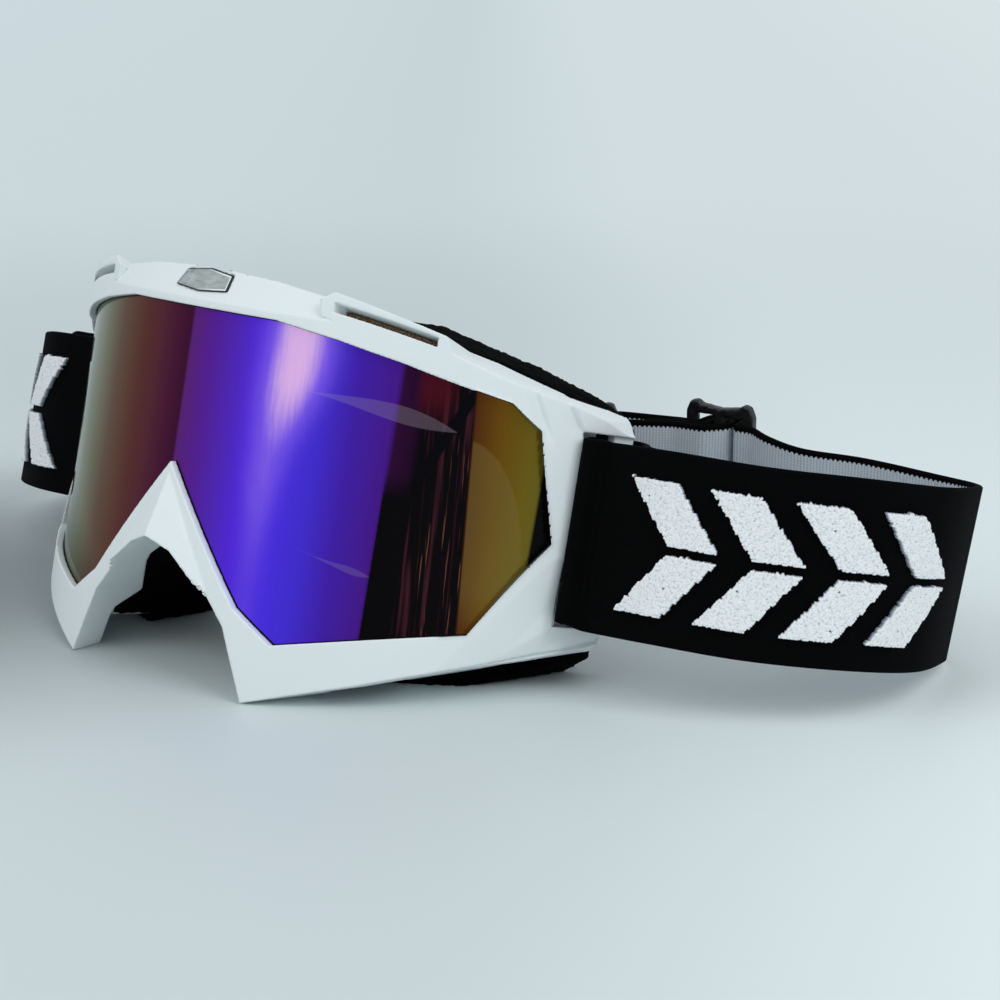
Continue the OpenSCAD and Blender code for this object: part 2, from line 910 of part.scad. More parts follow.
// A thin solid on the strap. Its grid's rows run up the strap, or down it where turned is true,
// each with [row number, height] pairs along the strap, and it lies between d0 and d1.
module patch(route, grid, d0, d1, turned) {
    nj = len(grid);
    ni = len(grid[0]);
    points = [
        for (d = [d0, d1], line = grid, qh = line)
            skin(route, qh[0], qh[1], d)
    ];
    top = ni * nj;
    cells = [
        for (j = [0:nj - 2], i = [0:ni - 2])
            let (
                a = j * ni + i,
                b = a + 1,
                c = b + ni,
                d = a + ni
            )
            each [[a, b, c], [a, c, d], [top + c, top + b, top + a], [top + d, top + c, top + a]]
    ];
    rim = concat(
        [for (i = [0:ni - 1]) i],
        [for (j = [1:nj - 1]) j * ni + ni - 1],
        [for (i = [ni - 2:-1:0]) (nj - 1) * ni + i],
        [for (j = [nj - 2:-1:1]) j * ni]
    );
    walls = [
        for (k = [0:len(rim) - 1])
            let (
                a = rim[k],
                b = rim[(k + 1) % len(rim)]
            )
            each [[a, top + a, top + b], [a, top + b, b]]
    ];
    faces = concat(cells, walls);
    polyhedron(points, turned ? [for (f = faces) [f[2], f[1], f[0]]] : faces);
}

// A row of bold chevrons, each of an upper and a lower arm, pointing away from the goggles
module chevrons(route, table, out) {
    arm_h = strap_w / 2 - motif_margin - arm_gap / 2;
    d0 = out * (strap_t / 2 + motif_off);
    d1 = out * (strap_t / 2 + motif_off + motif_t);
    for (n = [0:chevron_count - 1], rise = [-1, 1]) {
        s0 = motif_from + n * chevron_pitch;
        grid = [
            for (j = [0:arm_cells]) [
                for (i = [0:arm_cells])
                    let (
                        up_arm = j / arm_cells
                    )
                    [
                        lookup(s0 + chevron_run * (1 - up_arm) + chevron_w * i / arm_cells, table),
                        strap_w / 2 + rise * (arm_gap / 2 + arm_h * up_arm)
                    ]
            ]
        ];
        patch(route, grid, d0, d1, rise * out < 0);
    }
}

module motifs_right() {
    color("white")
        laid()
            chevrons(right_route, right_lengths, 1);
}

module motifs_left() {
    color("white")
        laid()
            chevrons(left_route, left_lengths, -1);
}

// A line of stitches up the strap, over a stretch of q rows from q0, on the side that out names
module seam(route, q0, q, out) {
    grid = [
        for (h = [seam_margin, strap_w - seam_margin])
            [[q0, h], [q0 + q, h]]
    ];
    d0 = strap_t / 2 + seam_off;
    patch(route, grid, out * d0, out * (d0 + seam_t), out < 0);
}

module ear_stitching() {
    color("black")
        laid() {
            seam(right_route, 0.3, 0.25, 1);
            seam(left_route, 0.3, 0.25, -1);
        }
}

module left_end_stitching() {
    color("black")
        laid()
            seam(left_route, left_rear_to + 0.2, 0.07, 1);
}

module right_end_stitching() {
    color("black")
        laid()
            seam(right_route, right_rear_to + 1.1, 0.12, 1);
}

// A slider with three bars, seen along the strap's thickness, with its horns past the strap's edges
module slider(at) {
    half_h = strap_w / 2 + slider_over;
    half_len = slider_len / 2;
    slot_w = half_len - 1.5 * slider_bar;
    crown = [
        [0, half_h - 1.6], [0.28 * slider_len, half_h - 0.9], [0.35 * slider_len, half_h],
        [half_len - 1.2, half_h - 0.3], [half_len, half_h - 3]
    ];
    color("black")
        laid()
            translate([at[0], at[1], strap_z + strap_w / 2])
                rotate([0, 0, at[3]])
                    slab(-slider_t / 2, slider_t / 2)
                        difference() {
                            outline(concat(
                                crown,
                                [for (i = [len(crown) - 1:-1:0]) [crown[i][0], -crown[i][1]]]
                            ));
                            for (side = [-1, 1])
                                translate([side * (slider_bar + slot_w) / 2, 0])
                                    square([slot_w, strap_w + 2 * slider_room], center = true);
                        }
}

module right_slider() {
    slider(right_slider_at);
}

module left_slider() {
    slider(left_slider_at);
}

frame();
lens();
brow_badge();
vent_foam_right();
vent_foam_left();
lower_vent_foam();
face_foam();
fleece_liner();
strap_right_loop();
strap_right_side();
strap_right_fold();
strap_right_rear();
strap_right_end();
strap_left_loop();
strap_left_side();
strap_left_rear();
strap_left_end();
motifs_right();
motifs_left();
right_slider();
left_slider();
ear_stitching();
left_end_stitching();
right_end_stitching();
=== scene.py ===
import math

import bmesh
import bpy
import numpy as np
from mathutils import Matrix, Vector, geometry, noise


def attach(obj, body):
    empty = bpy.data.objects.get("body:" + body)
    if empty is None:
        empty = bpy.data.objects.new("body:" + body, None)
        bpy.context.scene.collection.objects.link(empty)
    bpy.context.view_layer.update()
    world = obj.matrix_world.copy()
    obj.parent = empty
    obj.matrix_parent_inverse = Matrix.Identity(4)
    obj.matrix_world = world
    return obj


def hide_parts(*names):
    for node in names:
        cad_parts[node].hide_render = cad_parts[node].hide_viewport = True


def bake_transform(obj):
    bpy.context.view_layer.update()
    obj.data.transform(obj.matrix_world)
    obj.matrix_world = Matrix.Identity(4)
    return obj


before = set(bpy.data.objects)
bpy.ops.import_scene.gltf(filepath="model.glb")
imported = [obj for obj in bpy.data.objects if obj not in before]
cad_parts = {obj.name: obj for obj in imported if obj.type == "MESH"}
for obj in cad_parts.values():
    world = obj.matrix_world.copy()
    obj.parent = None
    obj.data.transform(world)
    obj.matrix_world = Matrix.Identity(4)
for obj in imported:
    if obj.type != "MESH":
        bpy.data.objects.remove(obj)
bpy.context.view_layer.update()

scene = bpy.context.scene
MM = 0.001

# Sizes in millimetres, as in the part's source. The goggles' own frame has x across the lens,
# y back from the lens's front and z up its face.
CENTRE_X, CENTRE_Y = 9.5075, 67.485
LEAN, REST_H = math.radians(14.26), 15.37
LEAN_COS, LEAN_SIN = math.cos(LEAN), math.sin(LEAN)
LENS_R, LENS_T, LENS_H, LENS_HOLD = 90, 1.2, 75.2, 1.2
RIM_R = 92
STRAP_W, STRAP_T = 45, 1.6
EAR_STRAP_Z, SLOT_TO = 14.8, 69
BADGE_Z = 81.7


# Places and meshes

def seated(points):
    """Points of the goggles' own frame, in mm, to where they are in the row frame, in metres."""
    x, y, z = np.asarray(points, float).reshape(-1, 3).T
    back, up = y * LEAN_COS + z * LEAN_SIN - CENTRE_Y, z * LEAN_COS - y * LEAN_SIN + REST_H
    return np.column_stack([x - CENTRE_X, back, up]) * MM


def unseated(points):
    """The other way round."""
    x, y, z = (np.asarray(points, float).reshape(-1, 3) / MM).T
    y, z = y + CENTRE_Y, z - REST_H
    return np.column_stack([x + CENTRE_X, y * LEAN_COS - z * LEAN_SIN, y * LEAN_SIN + z * LEAN_COS])


def laid(points):
    """Points on the table, in mm and not yet centred, to the row frame in metres."""
    return (np.asarray(points, float).reshape(-1, 3) - [CENTRE_X, CENTRE_Y, 0]) * MM


def new_piece(name, verts, faces):
    mesh = bpy.data.meshes.new(name)
    mesh.from_pydata([tuple(v) for v in verts], [], [tuple(f) for f in faces])
    mesh.validate()
    mesh.polygons.foreach_set("use_smooth", [True] * len(mesh.polygons))
    obj = bpy.data.objects.new(name, mesh)
    scene.collection.objects.link(obj)
    return obj


def coords(obj):
    co = np.zeros(len(obj.data.vertices) * 3, np.float32)
    obj.data.vertices.foreach_get("co", co)
    return co.reshape(-1, 3).astype(float)


def set_coords(obj, co):
    obj.data.vertices.foreach_set("co", np.asarray(co, np.float32).ravel())
    obj.data.update()


def keep_values(obj, **columns):
    """Numbers kept with each vertex, which the materials read."""
    for name, values in columns.items():
        layer = obj.data.attributes.new(name, "FLOAT", "POINT")
        layer.data.foreach_set("value", np.asarray(values, np.float32))


def apply_modifiers(obj):
    evaluated = obj.evaluated_get(bpy.context.evaluated_depsgraph_get())
    mesh = bpy.data.meshes.new_from_object(evaluated)
    obj.modifiers.clear()
    obj.data = mesh


def modify(obj, kind, **settings):
    modifier = obj.modifiers.new(kind.title(), kind)
    for key, value in settings.items():
        setattr(modifier, key, value)


# A crisp piece is remeshed in 2 to this power cells along each side of a cube
CRISP_DEPTH = 9


def softened(node, name, voxel, rounds, shape=None, crisp=False):
    """A new piece from a CAD node's shape, with its edges rounded over a few voxels. A crisp piece
    keeps the line of each edge."""
    obj = bpy.data.objects.new(name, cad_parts[node].data.copy())
    obj.data.materials.clear()
    scene.collection.objects.link(obj)
    if crisp:
        fill = max(obj.dimensions) / (voxel * MM * 2 ** CRISP_DEPTH)
        modify(
            obj, "REMESH", mode="SHARP", octree_depth=CRISP_DEPTH, scale=fill, use_remove_disconnected=False,
        )
    else:
        modify(obj, "REMESH", mode="VOXEL", voxel_size=voxel * MM, adaptivity=0)
    apply_modifiers(obj)
    if shape:
        set_coords(obj, shape(coords(obj)))
    modify(obj, "SMOOTH", factor=0.5, iterations=rounds)
    apply_modifiers(obj)
    obj.data.polygons.foreach_set("use_smooth", [True] * len(obj.data.polygons))
    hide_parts(node)
    return obj


def roughened(obj, grain, depth, seed):
    """Every vertex is moved a little along its normal, by smooth noise, but none goes under the table."""
    finer, lowest = 2.3, 0.02
    co = coords(obj)
    normals = np.array([v.normal for v in obj.data.vertices])
    moved = []
    for p in co:
        coarse = noise.noise(Vector(p) / (grain * MM) + Vector((seed, 0, 0)))
        moved.append(coarse + 0.5 * noise.noise(Vector(p) / (grain * MM / finer)))
    co += normals * (np.array(moved) * depth * MM)[:, None]
    co[:, 2] = np.maximum(co[:, 2], lowest * MM)
    set_coords(obj, co)


# Materials

def linear(r, g, b):
    """A colour written in 0 to 255, as light."""
    def light(c):
        return c / 255 / 12.92 if c < 10.3 else ((c / 255 + 0.055) / 1.055) ** 2.4

    return tuple(light(c) for c in (r, g, b)) + (1,)


class Nodes:
    """A node tree, with short calls for the nodes that are used here."""

    def __init__(self, tree):
        self.nodes, self.links = tree.nodes, tree.links

    def put(self, socket, value):
        if hasattr(value, "links"):
            self.links.new(value, socket)
        else:
            socket.default_value = value

    def node(self, kind, **settings):
        made = self.nodes.new("ShaderNode" + kind)
        for key, value in settings.items():
            setattr(made, key, value)
        return made

    def value(self, name):
        return self.node("Attribute", attribute_name=name).outputs["Fac"]

    def maths(self, kind, a, b=0.0, c=0.0):
        made = self.node("Math", operation=kind)
        for i, v in enumerate((a, b, c)):
            self.put(made.inputs[i], v)
        return made.outputs[0]

    def plus(self, a, b):
        return self.maths("ADD", a, b)

    def minus(self, a, b):
        return self.maths("SUBTRACT", a, b)

    def times(self, a, b):
        return self.maths("MULTIPLY", a, b)

    def over(self, a, b):
        return self.maths("DIVIDE", a, b)

    def clamped(self, v, low, high, out_low=0.0, out_high=1.0):
        """A smooth step from low to high."""
        made = self.node("MapRange", interpolation_type="SMOOTHSTEP")
        for i, x in enumerate((v, low, high, out_low, out_high)):
            self.put(made.inputs[i], x)
        return made.outputs[0]

    def between(self, v, a, b, c, d):
        """Up from a to b, and down again from c to d."""
        return self.times(self.clamped(v, a, b), self.clamped(v, d, c))

    def wave(self, v, pitch):
        """From 0 to 1 and back over each pitch."""
        turn = self.maths("SINE", self.times(v, 2 * math.pi / pitch))
        return self.maths("MULTIPLY_ADD", turn, 0.5, 0.5)

    def place(self, *scale):
        """The object's own coordinates in mm, each stretched."""
        made = self.node("Mapping")
        self.links.new(self.node("TexCoord").outputs["Object"], made.inputs["Vector"])
        made.inputs["Scale"].default_value = [s / MM for s in (scale or (1, 1, 1))]
        return made.outputs[0]

    def joined(self, x, y, z=0.0):
        made = self.node("CombineXYZ")
        for i, v in enumerate((x, y, z)):
            self.put(made.inputs[i], v)
        return made.outputs[0]

    def noise(self, at, size, detail=2.0, rough=0.5):
        made = self.node("TexNoise")
        self.put(made.inputs["Vector"], at)
        for key, v in (("Scale", 1 / size), ("Detail", detail), ("Roughness", rough)):
            made.inputs[key].default_value = v
        return made.outputs["Fac"]

    def cells(self, at, size):
        made = self.node("TexVoronoi")
        self.put(made.inputs["Vector"], at)
        made.inputs["Scale"].default_value = 1 / size
        return made.outputs["Distance"]

    def vector(self, kind, a, b=(0, 0, 0)):
        made = self.node("VectorMath", operation=kind)
        self.put(made.inputs[0], a)
        self.put(made.inputs[1], b)
        return made.outputs["Value"]

    def blend(self, fac, a, b, kind="RGBA"):
        made = self.node("Mix", data_type=kind)
        first, result = (6, 2) if kind == "RGBA" else (2, 0)
        for i, v in ((0, fac), (first, a), (first + 1, b)):
            self.put(made.inputs[i], v)
        return made.outputs[result]

    def ramp(self, fac, stops, low, high):
        """Colours at the given values of fac, from low to high."""
        made = self.node("ValToRGB")
        self.put(made.inputs[0], self.over(self.minus(fac, low), high - low))
        band = made.color_ramp
        while len(band.elements) < len(stops):
            band.elements.new(0.5)
        for element, (v, colour) in zip(band.elements, stops):
            element.position = (v - low) / (high - low)
            element.color = colour
        return made.outputs[0]

    def seen(self):
        """1 for what the camera sees, also in the gloss and through glass."""
        path = self.node("LightPath").outputs
        indirect = self.maths("MAXIMUM", path["Is Glossy Ray"], path["Is Transmission Ray"])
        return self.maths("MAXIMUM", path["Is Camera Ray"], indirect)

    def mixed(self, fac, a, b, output):
        """Two shaders into the tree's output."""
        made = self.node("MixShader")
        for i, v in enumerate((fac, a, b)):
            self.put(made.inputs[i], v)
        self.links.new(made.outputs[0], self.nodes[output].inputs["Surface"])


class Shader(Nodes):
    """A material's nodes round its main surface."""

    def __init__(self, name, **values):
        self.material = bpy.data.materials.new(name)
        self.material.use_nodes = True
        super().__init__(self.material.node_tree)
        self.surface = self.nodes["Principled BSDF"]
        for key, value in values.items():
            self.surface.inputs[key.replace("_", " ").title().replace("Ior", "IOR")].default_value = value

    def to(self, key, value):
        self.put(self.surface.inputs[key], value)

    def bump(self, height, depth):
        made = self.node("Bump")
        made.inputs["Distance"].default_value = depth * MM
        made.inputs["Strength"].default_value = 1
        self.put(made.inputs["Height"], height)
        self.to("Normal", made.outputs[0])


def dress(obj, shader):
    obj.data.materials.clear()
    obj.data.materials.append(shader.material)
    return obj


def frame_plastic():
    s = Shader(
        "frame_white", roughness=0.42, ior=1.47, subsurface_weight=0.08, subsurface_scale=1.0,
        subsurface_radius=(1.2 * MM, 1.1 * MM, 1.0 * MM),
    )
    at = s.place()
    s.to("Base Color", s.blend(s.noise(at, 38, 3), linear(222, 231, 233), linear(232, 239, 240)))
    s.to("Roughness", s.clamped(s.noise(at, 3.2, 3), 0.3, 0.7, 0.36, 0.48))
    s.bump(s.noise(at, 0.35, 2), 0.012)
    return s


# The lens gives back only part of the light, so its own colours are this much lighter than they look
MIRROR_GAIN = 1.45


def mirror(r, g, b):
    """A colour of the mirrored lens, as it looks under the plain light."""
    return tuple(min(1, c * MIRROR_GAIN) for c in linear(r, g, b)[:3]) + (1,)


def lens_mirror():
    """Upright bands of colour, which change with the angle about the lens's axis. They are partly the
    coating's own tint and partly painted reflections of the surroundings, with a painted highlight streak.
    """
    s = Shader("lens_mirror", metallic=0.7, roughness=0.1, ior=1.25)
    turn, up, inset = s.value("turn"), s.value("height"), s.value("inset")

    def tinted(colour, share, tint, strength=None):
        return s.blend(share if strength is None else s.times(share, strength), colour, tint)

    # The bands lean a little, each by its own share from its own height
    band = turn
    for where, share, height in (
        (s.between(turn, 41, 46, 50, 55), 0.045, 60), (s.clamped(turn, 53, 58), -0.012, 40),
        (s.between(turn, 28, 34, 38, 42), -0.008, 40),
    ):
        band = s.plus(band, s.times(s.times(where, share), s.minus(up, height)))
    bands = s.ramp(band, [
        (-64, mirror(8, 8, 8)), (-58, mirror(10, 12, 8)), (-46, mirror(34, 46, 18)),
        (-38, mirror(44, 56, 22)), (-32, mirror(62, 66, 28)), (-28, mirror(70, 69, 8)),
        (-24, mirror(73, 59, 5)), (-20, mirror(74, 40, 3)), (-16, mirror(78, 37, 6)),
        (-12, mirror(77, 26, 21)), (-8, mirror(76, 24, 37)), (-4, mirror(66, 8, 42)),
        (-0.8, mirror(52, 6, 40)), (-0.55, mirror(84, 28, 104)), (4, mirror(81, 27, 136)),
        (8, mirror(77, 35, 163)), (13, mirror(78, 37, 203)), (19, mirror(71, 42, 207)),
        (24, mirror(64, 41, 190)), (29, mirror(62, 28, 152)), (34.9, mirror(66, 22, 122)),
        (35.2, mirror(44, 6, 46)), (38.2, mirror(30, 5, 32)), (39.3, mirror(5, 3, 5)),
        (46.6, mirror(8, 4, 6)), (46.9, mirror(76, 36, 12)), (51, mirror(98, 66, 12)),
        (56, mirror(98, 82, 20)), (58.1, mirror(92, 82, 24)), (58.35, mirror(3, 3, 3.5)),
        (64, mirror(3, 3, 3)),
    ], -64, 64)
    # A painted highlight: a bright streak, wide and pink above, narrow and violet below, with fine scratches
    # in it
    middle = s.plus(16.2, s.clamped(up, 34, 72, 0.0, 3.0))
    wide = s.plus(2.7, s.clamped(up, 20, 68, 0.0, 2.3))
    off = s.over(s.minus(turn, middle), wide)
    peak = s.maths("EXPONENT", s.times(s.times(off, off), -1.0))
    strength = s.plus(s.clamped(up, 10, 44, 0.2, 0.5), s.clamped(up, 42, 66, 0.0, 0.6))
    at = s.joined(s.maths("MULTIPLY_ADD", up, 0.03, turn), s.times(up, 0.05))
    scratches = s.noise(at, 0.5, 3, 0.6)
    painted_highlight = s.times(peak, s.times(strength, s.clamped(scratches, 0.25, 0.7, 0.93, 1.05)))
    colour = tinted(bands, s.clamped(painted_highlight, 0.0, 0.62), mirror(118, 82, 253))
    colour = tinted(colour, s.clamped(painted_highlight, 0.42, 1.1), mirror(226, 168, 255))
    # The dark band is a painted reflection of dark surroundings, and holds more painted reflections: thin
    # leaning streaks, a red patch above and a darker bar across it
    at = s.joined(s.maths("MULTIPLY_ADD", up, 0.035, turn), s.times(up, 0.022))
    threads = s.clamped(s.noise(at, 1.1, 2, 0.6), 0.5, 0.68)
    dark = s.between(band, 39.2, 39.8, 46.4, 46.8)
    colour = tinted(colour, s.times(threads, dark), mirror(62, 24, 34), 0.85)
    fine = s.clamped(s.noise(at, 0.42, 2, 0.5), 0.6, 0.7)
    fine = s.times(fine, s.between(band, 41, 42, 46.4, 46.8))
    colour = tinted(colour, fine, mirror(96, 52, 44), s.clamped(up, 58, 46))
    # A painted red reflection high in the dark band
    red_reflection = s.times(s.between(turn, 37, 39.2, 41.5, 44.5), s.clamped(up, 55, 66))
    colour = tinted(colour, red_reflection, mirror(70, 10, 26), 0.85)
    bar = s.maths("ABSOLUTE", s.minus(turn, s.maths("MULTIPLY_ADD", up, 0.3, 26.6)))
    bar = s.times(s.clamped(bar, 1.1, 0.7), s.between(band, 38.6, 39.2, 46.5, 46.8))
    colour = tinted(colour, bar, mirror(5, 4, 8), s.clamped(up, 30, 40))
    # Low down, the violet ends straight in the dark band
    under = s.between(band, 34.9, 35.2, 39.2, 39.8)
    colour = tinted(colour, under, mirror(5, 3, 5), s.clamped(up, 46, 38))
    # A round shape lies in the amber band, paler than what is round it
    across = s.over(s.minus(turn, 46), 11.4)
    along = s.over(s.minus(up, 21), 34)
    from_middle = s.plus(s.times(across, across), s.times(along, along))
    amber = s.times(s.between(band, 46.7, 46.9, 58.0, 58.3), s.clamped(up, 8, 22))
    paler = s.times(s.clamped(from_middle, 1.02, 0.97), amber)
    colour = tinted(colour, paler, mirror(108, 90, 46), 0.4)
    # Two pale leaves, each from one tip to the other, bowed, and fullest past its middle
    for t0, z0, t1, z1, bow, thick, fullest, pale in (
        (19.7, 60.2, 44.6, 56.2, 0.9, 4.0, 1.67, 0.15), (23.0, 23.6, 35.0, 19.8, -0.2, 1.6, 2.6, 0.12),
    ):
        u = s.over(s.minus(turn, t0), t1 - t0)
        arch = s.times(s.times(u, s.minus(1.0, u)), 4.0)
        line = s.plus(s.maths("MULTIPLY_ADD", u, z1 - z0, z0), s.times(arch, bow))
        full = s.maths("SINE", s.times(s.maths("POWER", u, fullest), math.pi))
        half = s.times(full, thick / 2)
        gap = s.minus(s.maths("ABSOLUTE", s.minus(up, line)), half)
        leaf = s.times(s.clamped(gap, 0.12, -0.12), s.between(u, 0.0, 0.01, 0.99, 1.0))
        colour = tinted(colour, leaf, mirror(160, 138, 156), pale)
    # The cut edge gets a pale line of painted highlight inside a dark line of painted shade, where the
    # frame's lip meets the lens
    pale = s.times(s.between(inset, 0.5, 0.6, 0.95, 1.1), s.clamped(turn, 52, 57))
    colour = tinted(colour, pale, mirror(104, 124, 118), 0.75)
    colour = tinted(colour, s.clamped(inset, 0.42, 0.25), mirror(14, 12, 18))
    s.to("Base Color", colour)
    smear = s.noise(s.joined(turn, s.times(up, 0.12)), 2.4, 3)
    s.to("Roughness", s.clamped(smear, 0.3, 0.75, 0.07, 0.15))
    return s


def badge_metal():
    """Brushed silver with a dark edge and a bright line of painted highlight inside it, painted sheen in
    patches, and painted shade on its end towards -x.
    """
    s = Shader("badge_silver", metallic=0.75, roughness=0.4)
    inset, across = s.value("inset"), s.value("across")
    brushed = s.noise(s.place(0.05, 1, 1), 0.16, 3)
    # Painted shade: the end towards -x is darker, as a facet turned from the light
    facet = s.clamped(across, -5.6, -4.6)
    grey = s.blend(facet, linear(128, 134, 134), linear(164, 168, 166))
    grey = s.blend(s.clamped(brushed, 0.35, 0.75), grey, linear(188, 192, 190))
    # Painted sheen: soft lighter patches
    painted_sheen = s.clamped(s.noise(s.place(0.5, 0.5, 0.9), 3.0, 2), 0.5, 0.7)
    grey = s.blend(s.times(painted_sheen, 0.35), grey, linear(222, 226, 226))
    # Painted highlight: a bright line just inside the dark edge
    bright = s.times(s.clamped(inset, 0.62, 0.5), s.clamped(across, -2.0, 5.0))
    grey = s.blend(bright, grey, linear(250, 252, 252))
    s.to("Base Color", s.blend(s.clamped(inset, 0.34, 0.22), grey, linear(48, 52, 54)))
    s.to("Roughness", s.clamped(brushed, 0.3, 0.7, 0.34, 0.5))
    s.bump(brushed, 0.012)
    return s


def open_foam(name, dark, light, pore, depth=0.12):
    s = Shader(name, roughness=0.95, specular_ior_level=0.04)
    at = s.place()
    holes = s.cells(at, pore)
    cloud = s.noise(at, pore * 6, 3)
    tone = s.blend(s.clamped(holes, 0.15, 0.6), light, dark)
    s.to("Base Color", s.blend(s.times(cloud, 0.5), tone, dark))
    s.bump(s.minus(1.0, holes), depth)
    return s


def fleece():
    s = Shader("fleece", roughness=0.98, specular_ior_level=0.15)
    at = s.place()
    fuzz = s.noise(at, 0.3, 4, 0.7)
    clumps = s.noise(at, 2.2, 3)
    tone = s.blend(clumps, linear(5, 5, 5.5), linear(14, 14, 15))
    s.to("Base Color", s.blend(s.clamped(fuzz, 0.45, 0.8), tone, linear(28, 28, 30)))
    s.bump(s.maths("MULTIPLY_ADD", clumps, 1.5, fuzz), 0.2)
    return s


def strap_knit():
    """Black outer knit with a rib across, and a pale grey inner face with ribs up the strap that ends
    in small scallops short of the black edges."""
    s = Shader("strap_knit", roughness=0.92, specular_ior_level=0.06)
    run, rise, face = s.value("run"), s.value("rise"), s.value("face")
    edge = s.maths("MINIMUM", rise, s.minus(STRAP_W, rise))
    scallop = s.maths("ABSOLUTE", s.maths("SINE", s.times(run, math.pi / 1.2)))
    inner = s.clamped(s.minus(edge, s.maths("MULTIPLY_ADD", scallop, -0.6, 1.9)), -0.08, 0.08)
    inner = s.times(inner, s.clamped(face, -0.4, -0.6))
    # Inner face
    wobble = s.noise(s.joined(s.times(run, 0.3), s.times(rise, 0.08)), 1, 2)
    ribs = s.wave(s.maths("MULTIPLY_ADD", wobble, 0.5, run), 0.8)
    loops = s.wave(rise, 0.7)
    fleck = s.noise(s.joined(run, rise), 0.32, 3, 0.7)
    grey = s.blend(s.clamped(ribs, 0.05, 0.75), linear(168, 177, 186), linear(192, 201, 209))
    grey = s.blend(s.times(s.clamped(loops, 0.5, 0.0), 0.15), grey, linear(142, 152, 162))
    grey = s.blend(s.times(s.clamped(fleck, 0.52, 0.72), 0.5), grey, linear(222, 229, 235))
    # Outer face
    rows = s.wave(rise, 0.75)
    picks = s.wave(s.maths("MULTIPLY_ADD", rows, 0.3, run), 0.9)
    fine = s.noise(s.joined(run, rise), 0.4, 3, 0.6)
    weave = s.times(rows, picks)
    lit = s.times(weave, s.clamped(fine, 0.3, 0.8))
    black = s.blend(lit, linear(2.5, 2.5, 3), linear(9, 9, 10))
    s.to("Base Color", s.blend(inner, black, grey))
    outer_relief = s.maths("MULTIPLY_ADD", weave, 0.45, s.times(fine, 0.3))
    inner_relief = s.maths("MULTIPLY_ADD", ribs, 0.7, s.times(loops, 0.35))
    s.bump(s.blend(inner, outer_relief, inner_relief, "FLOAT"), 0.1)
    return s


def chenille():
    s = Shader("motif_chenille", roughness=0.95, specular_ior_level=0.2)
    tip, at = s.value("tip"), s.joined(s.value("run"), s.value("rise"))
    fibre = s.noise(at, 0.2, 3, 0.7)
    # Painted shade: the loops are darker low down and white at their tips, and darker again between the
    # fibres
    tone = s.blend(s.clamped(tip, 0.25, 0.85), linear(176, 190, 204), linear(250, 252, 253))
    shade_between_fibres = s.times(s.clamped(fibre, 0.48, 0.3), 0.4)
    s.to("Base Color", s.blend(shade_between_fibres, tone, linear(196, 208, 220)))
    s.bump(fibre, 0.15)
    return s


def slider_plastic():
    s = Shader("slider_plastic", roughness=0.35, ior=1.5)
    at = s.place()
    s.to("Base Color", s.blend(s.noise(at, 14, 2), linear(6, 6, 6), linear(16, 14, 13)))
    s.to("Roughness", s.clamped(s.noise(at, 1.6, 3), 0.3, 0.7, 0.34, 0.5))
    s.bump(s.noise(at, 0.5, 2), 0.02)
    return s


def thread():
    s = Shader("thread", roughness=0.75)
    twist = s.noise(s.place(1, 1, 3), 0.35, 2)
    s.to("Base Color", s.blend(twist, linear(9, 9, 10), linear(34, 34, 38)))
    s.bump(twist, 0.08)
    return s


# Camera, floor and light

# The camera's place in mm, its lens, and how it is turned
CAMERA_AT = (419.84 - CENTRE_X, -379.15 - CENTRE_Y, 207.9)
FOCAL, SENSOR = 88.47, 36
YAW, LOOK_DOWN = math.radians(39.45), math.radians(16.29)


def make_camera():
    camera = bpy.data.objects.new("camera", bpy.data.cameras.new("camera"))
    camera.data.lens, camera.data.sensor_width = FOCAL, SENSOR
    camera.data.clip_start, camera.data.clip_end = 0.02, 30
    camera.location = [v * MM for v in CAMERA_AT]
    camera.rotation_euler = (math.radians(90) - LOOK_DOWN, 0, YAW)
    scene.collection.objects.link(camera)
    scene.camera = camera
    scene.view_settings.view_transform = "Standard"


def make_floor():
    """Near the goggles the floor shows its light and shadow, with a painted shadow under the nose and painted
    light to the camera's right. Further off it is the plain backdrop, painted a little lighter to the
    camera's right."""
    s = Shader("floor", roughness=0.5, specular_ior_level=0.25)
    place = s.node("TexCoord").outputs["Object"]
    rightward = s.vector("DOT_PRODUCT", place, (math.cos(YAW), math.sin(YAW), 0))
    # A painted shadow darkens the floor under the nose, and painted light makes the floor near the goggles
    # lighter to the camera's right
    painted_shadow = s.clamped(s.vector("DISTANCE", place, (-0.115, -0.07, 0)), 0.15, 0.0)
    near = s.blend(s.clamped(rightward, 0.0, 0.16), linear(210, 221, 222), linear(232, 243, 244))
    s.to("Base Color", s.blend(s.times(painted_shadow, 0.85), near, linear(112, 120, 124)))
    plain = s.node("Emission")
    s.put(plain.inputs["Color"], s.ramp(rightward, [
        (-0.55, linear(204, 217, 223)), (-0.12, linear(202, 215, 219)), (0, linear(199, 213, 216)),
        (0.1, linear(209, 221, 224)), (0.25, linear(209, 221, 224)), (0.55, linear(216, 227, 229)),
    ], -0.55, 0.55))
    share = s.times(s.seen(), s.clamped(s.vector("LENGTH", place), 0.22, 0.7))
    s.mixed(share, s.surface.outputs[0], plain.outputs[0], "Material Output")
    size = 6.0
    corners = [(-size, -size, 0), (size, -size, 0), (size, size, 0), (-size, size, 0)]
    floor = new_piece("floor", corners, [(0, 1, 2, 3)])
    dress(floor, s)


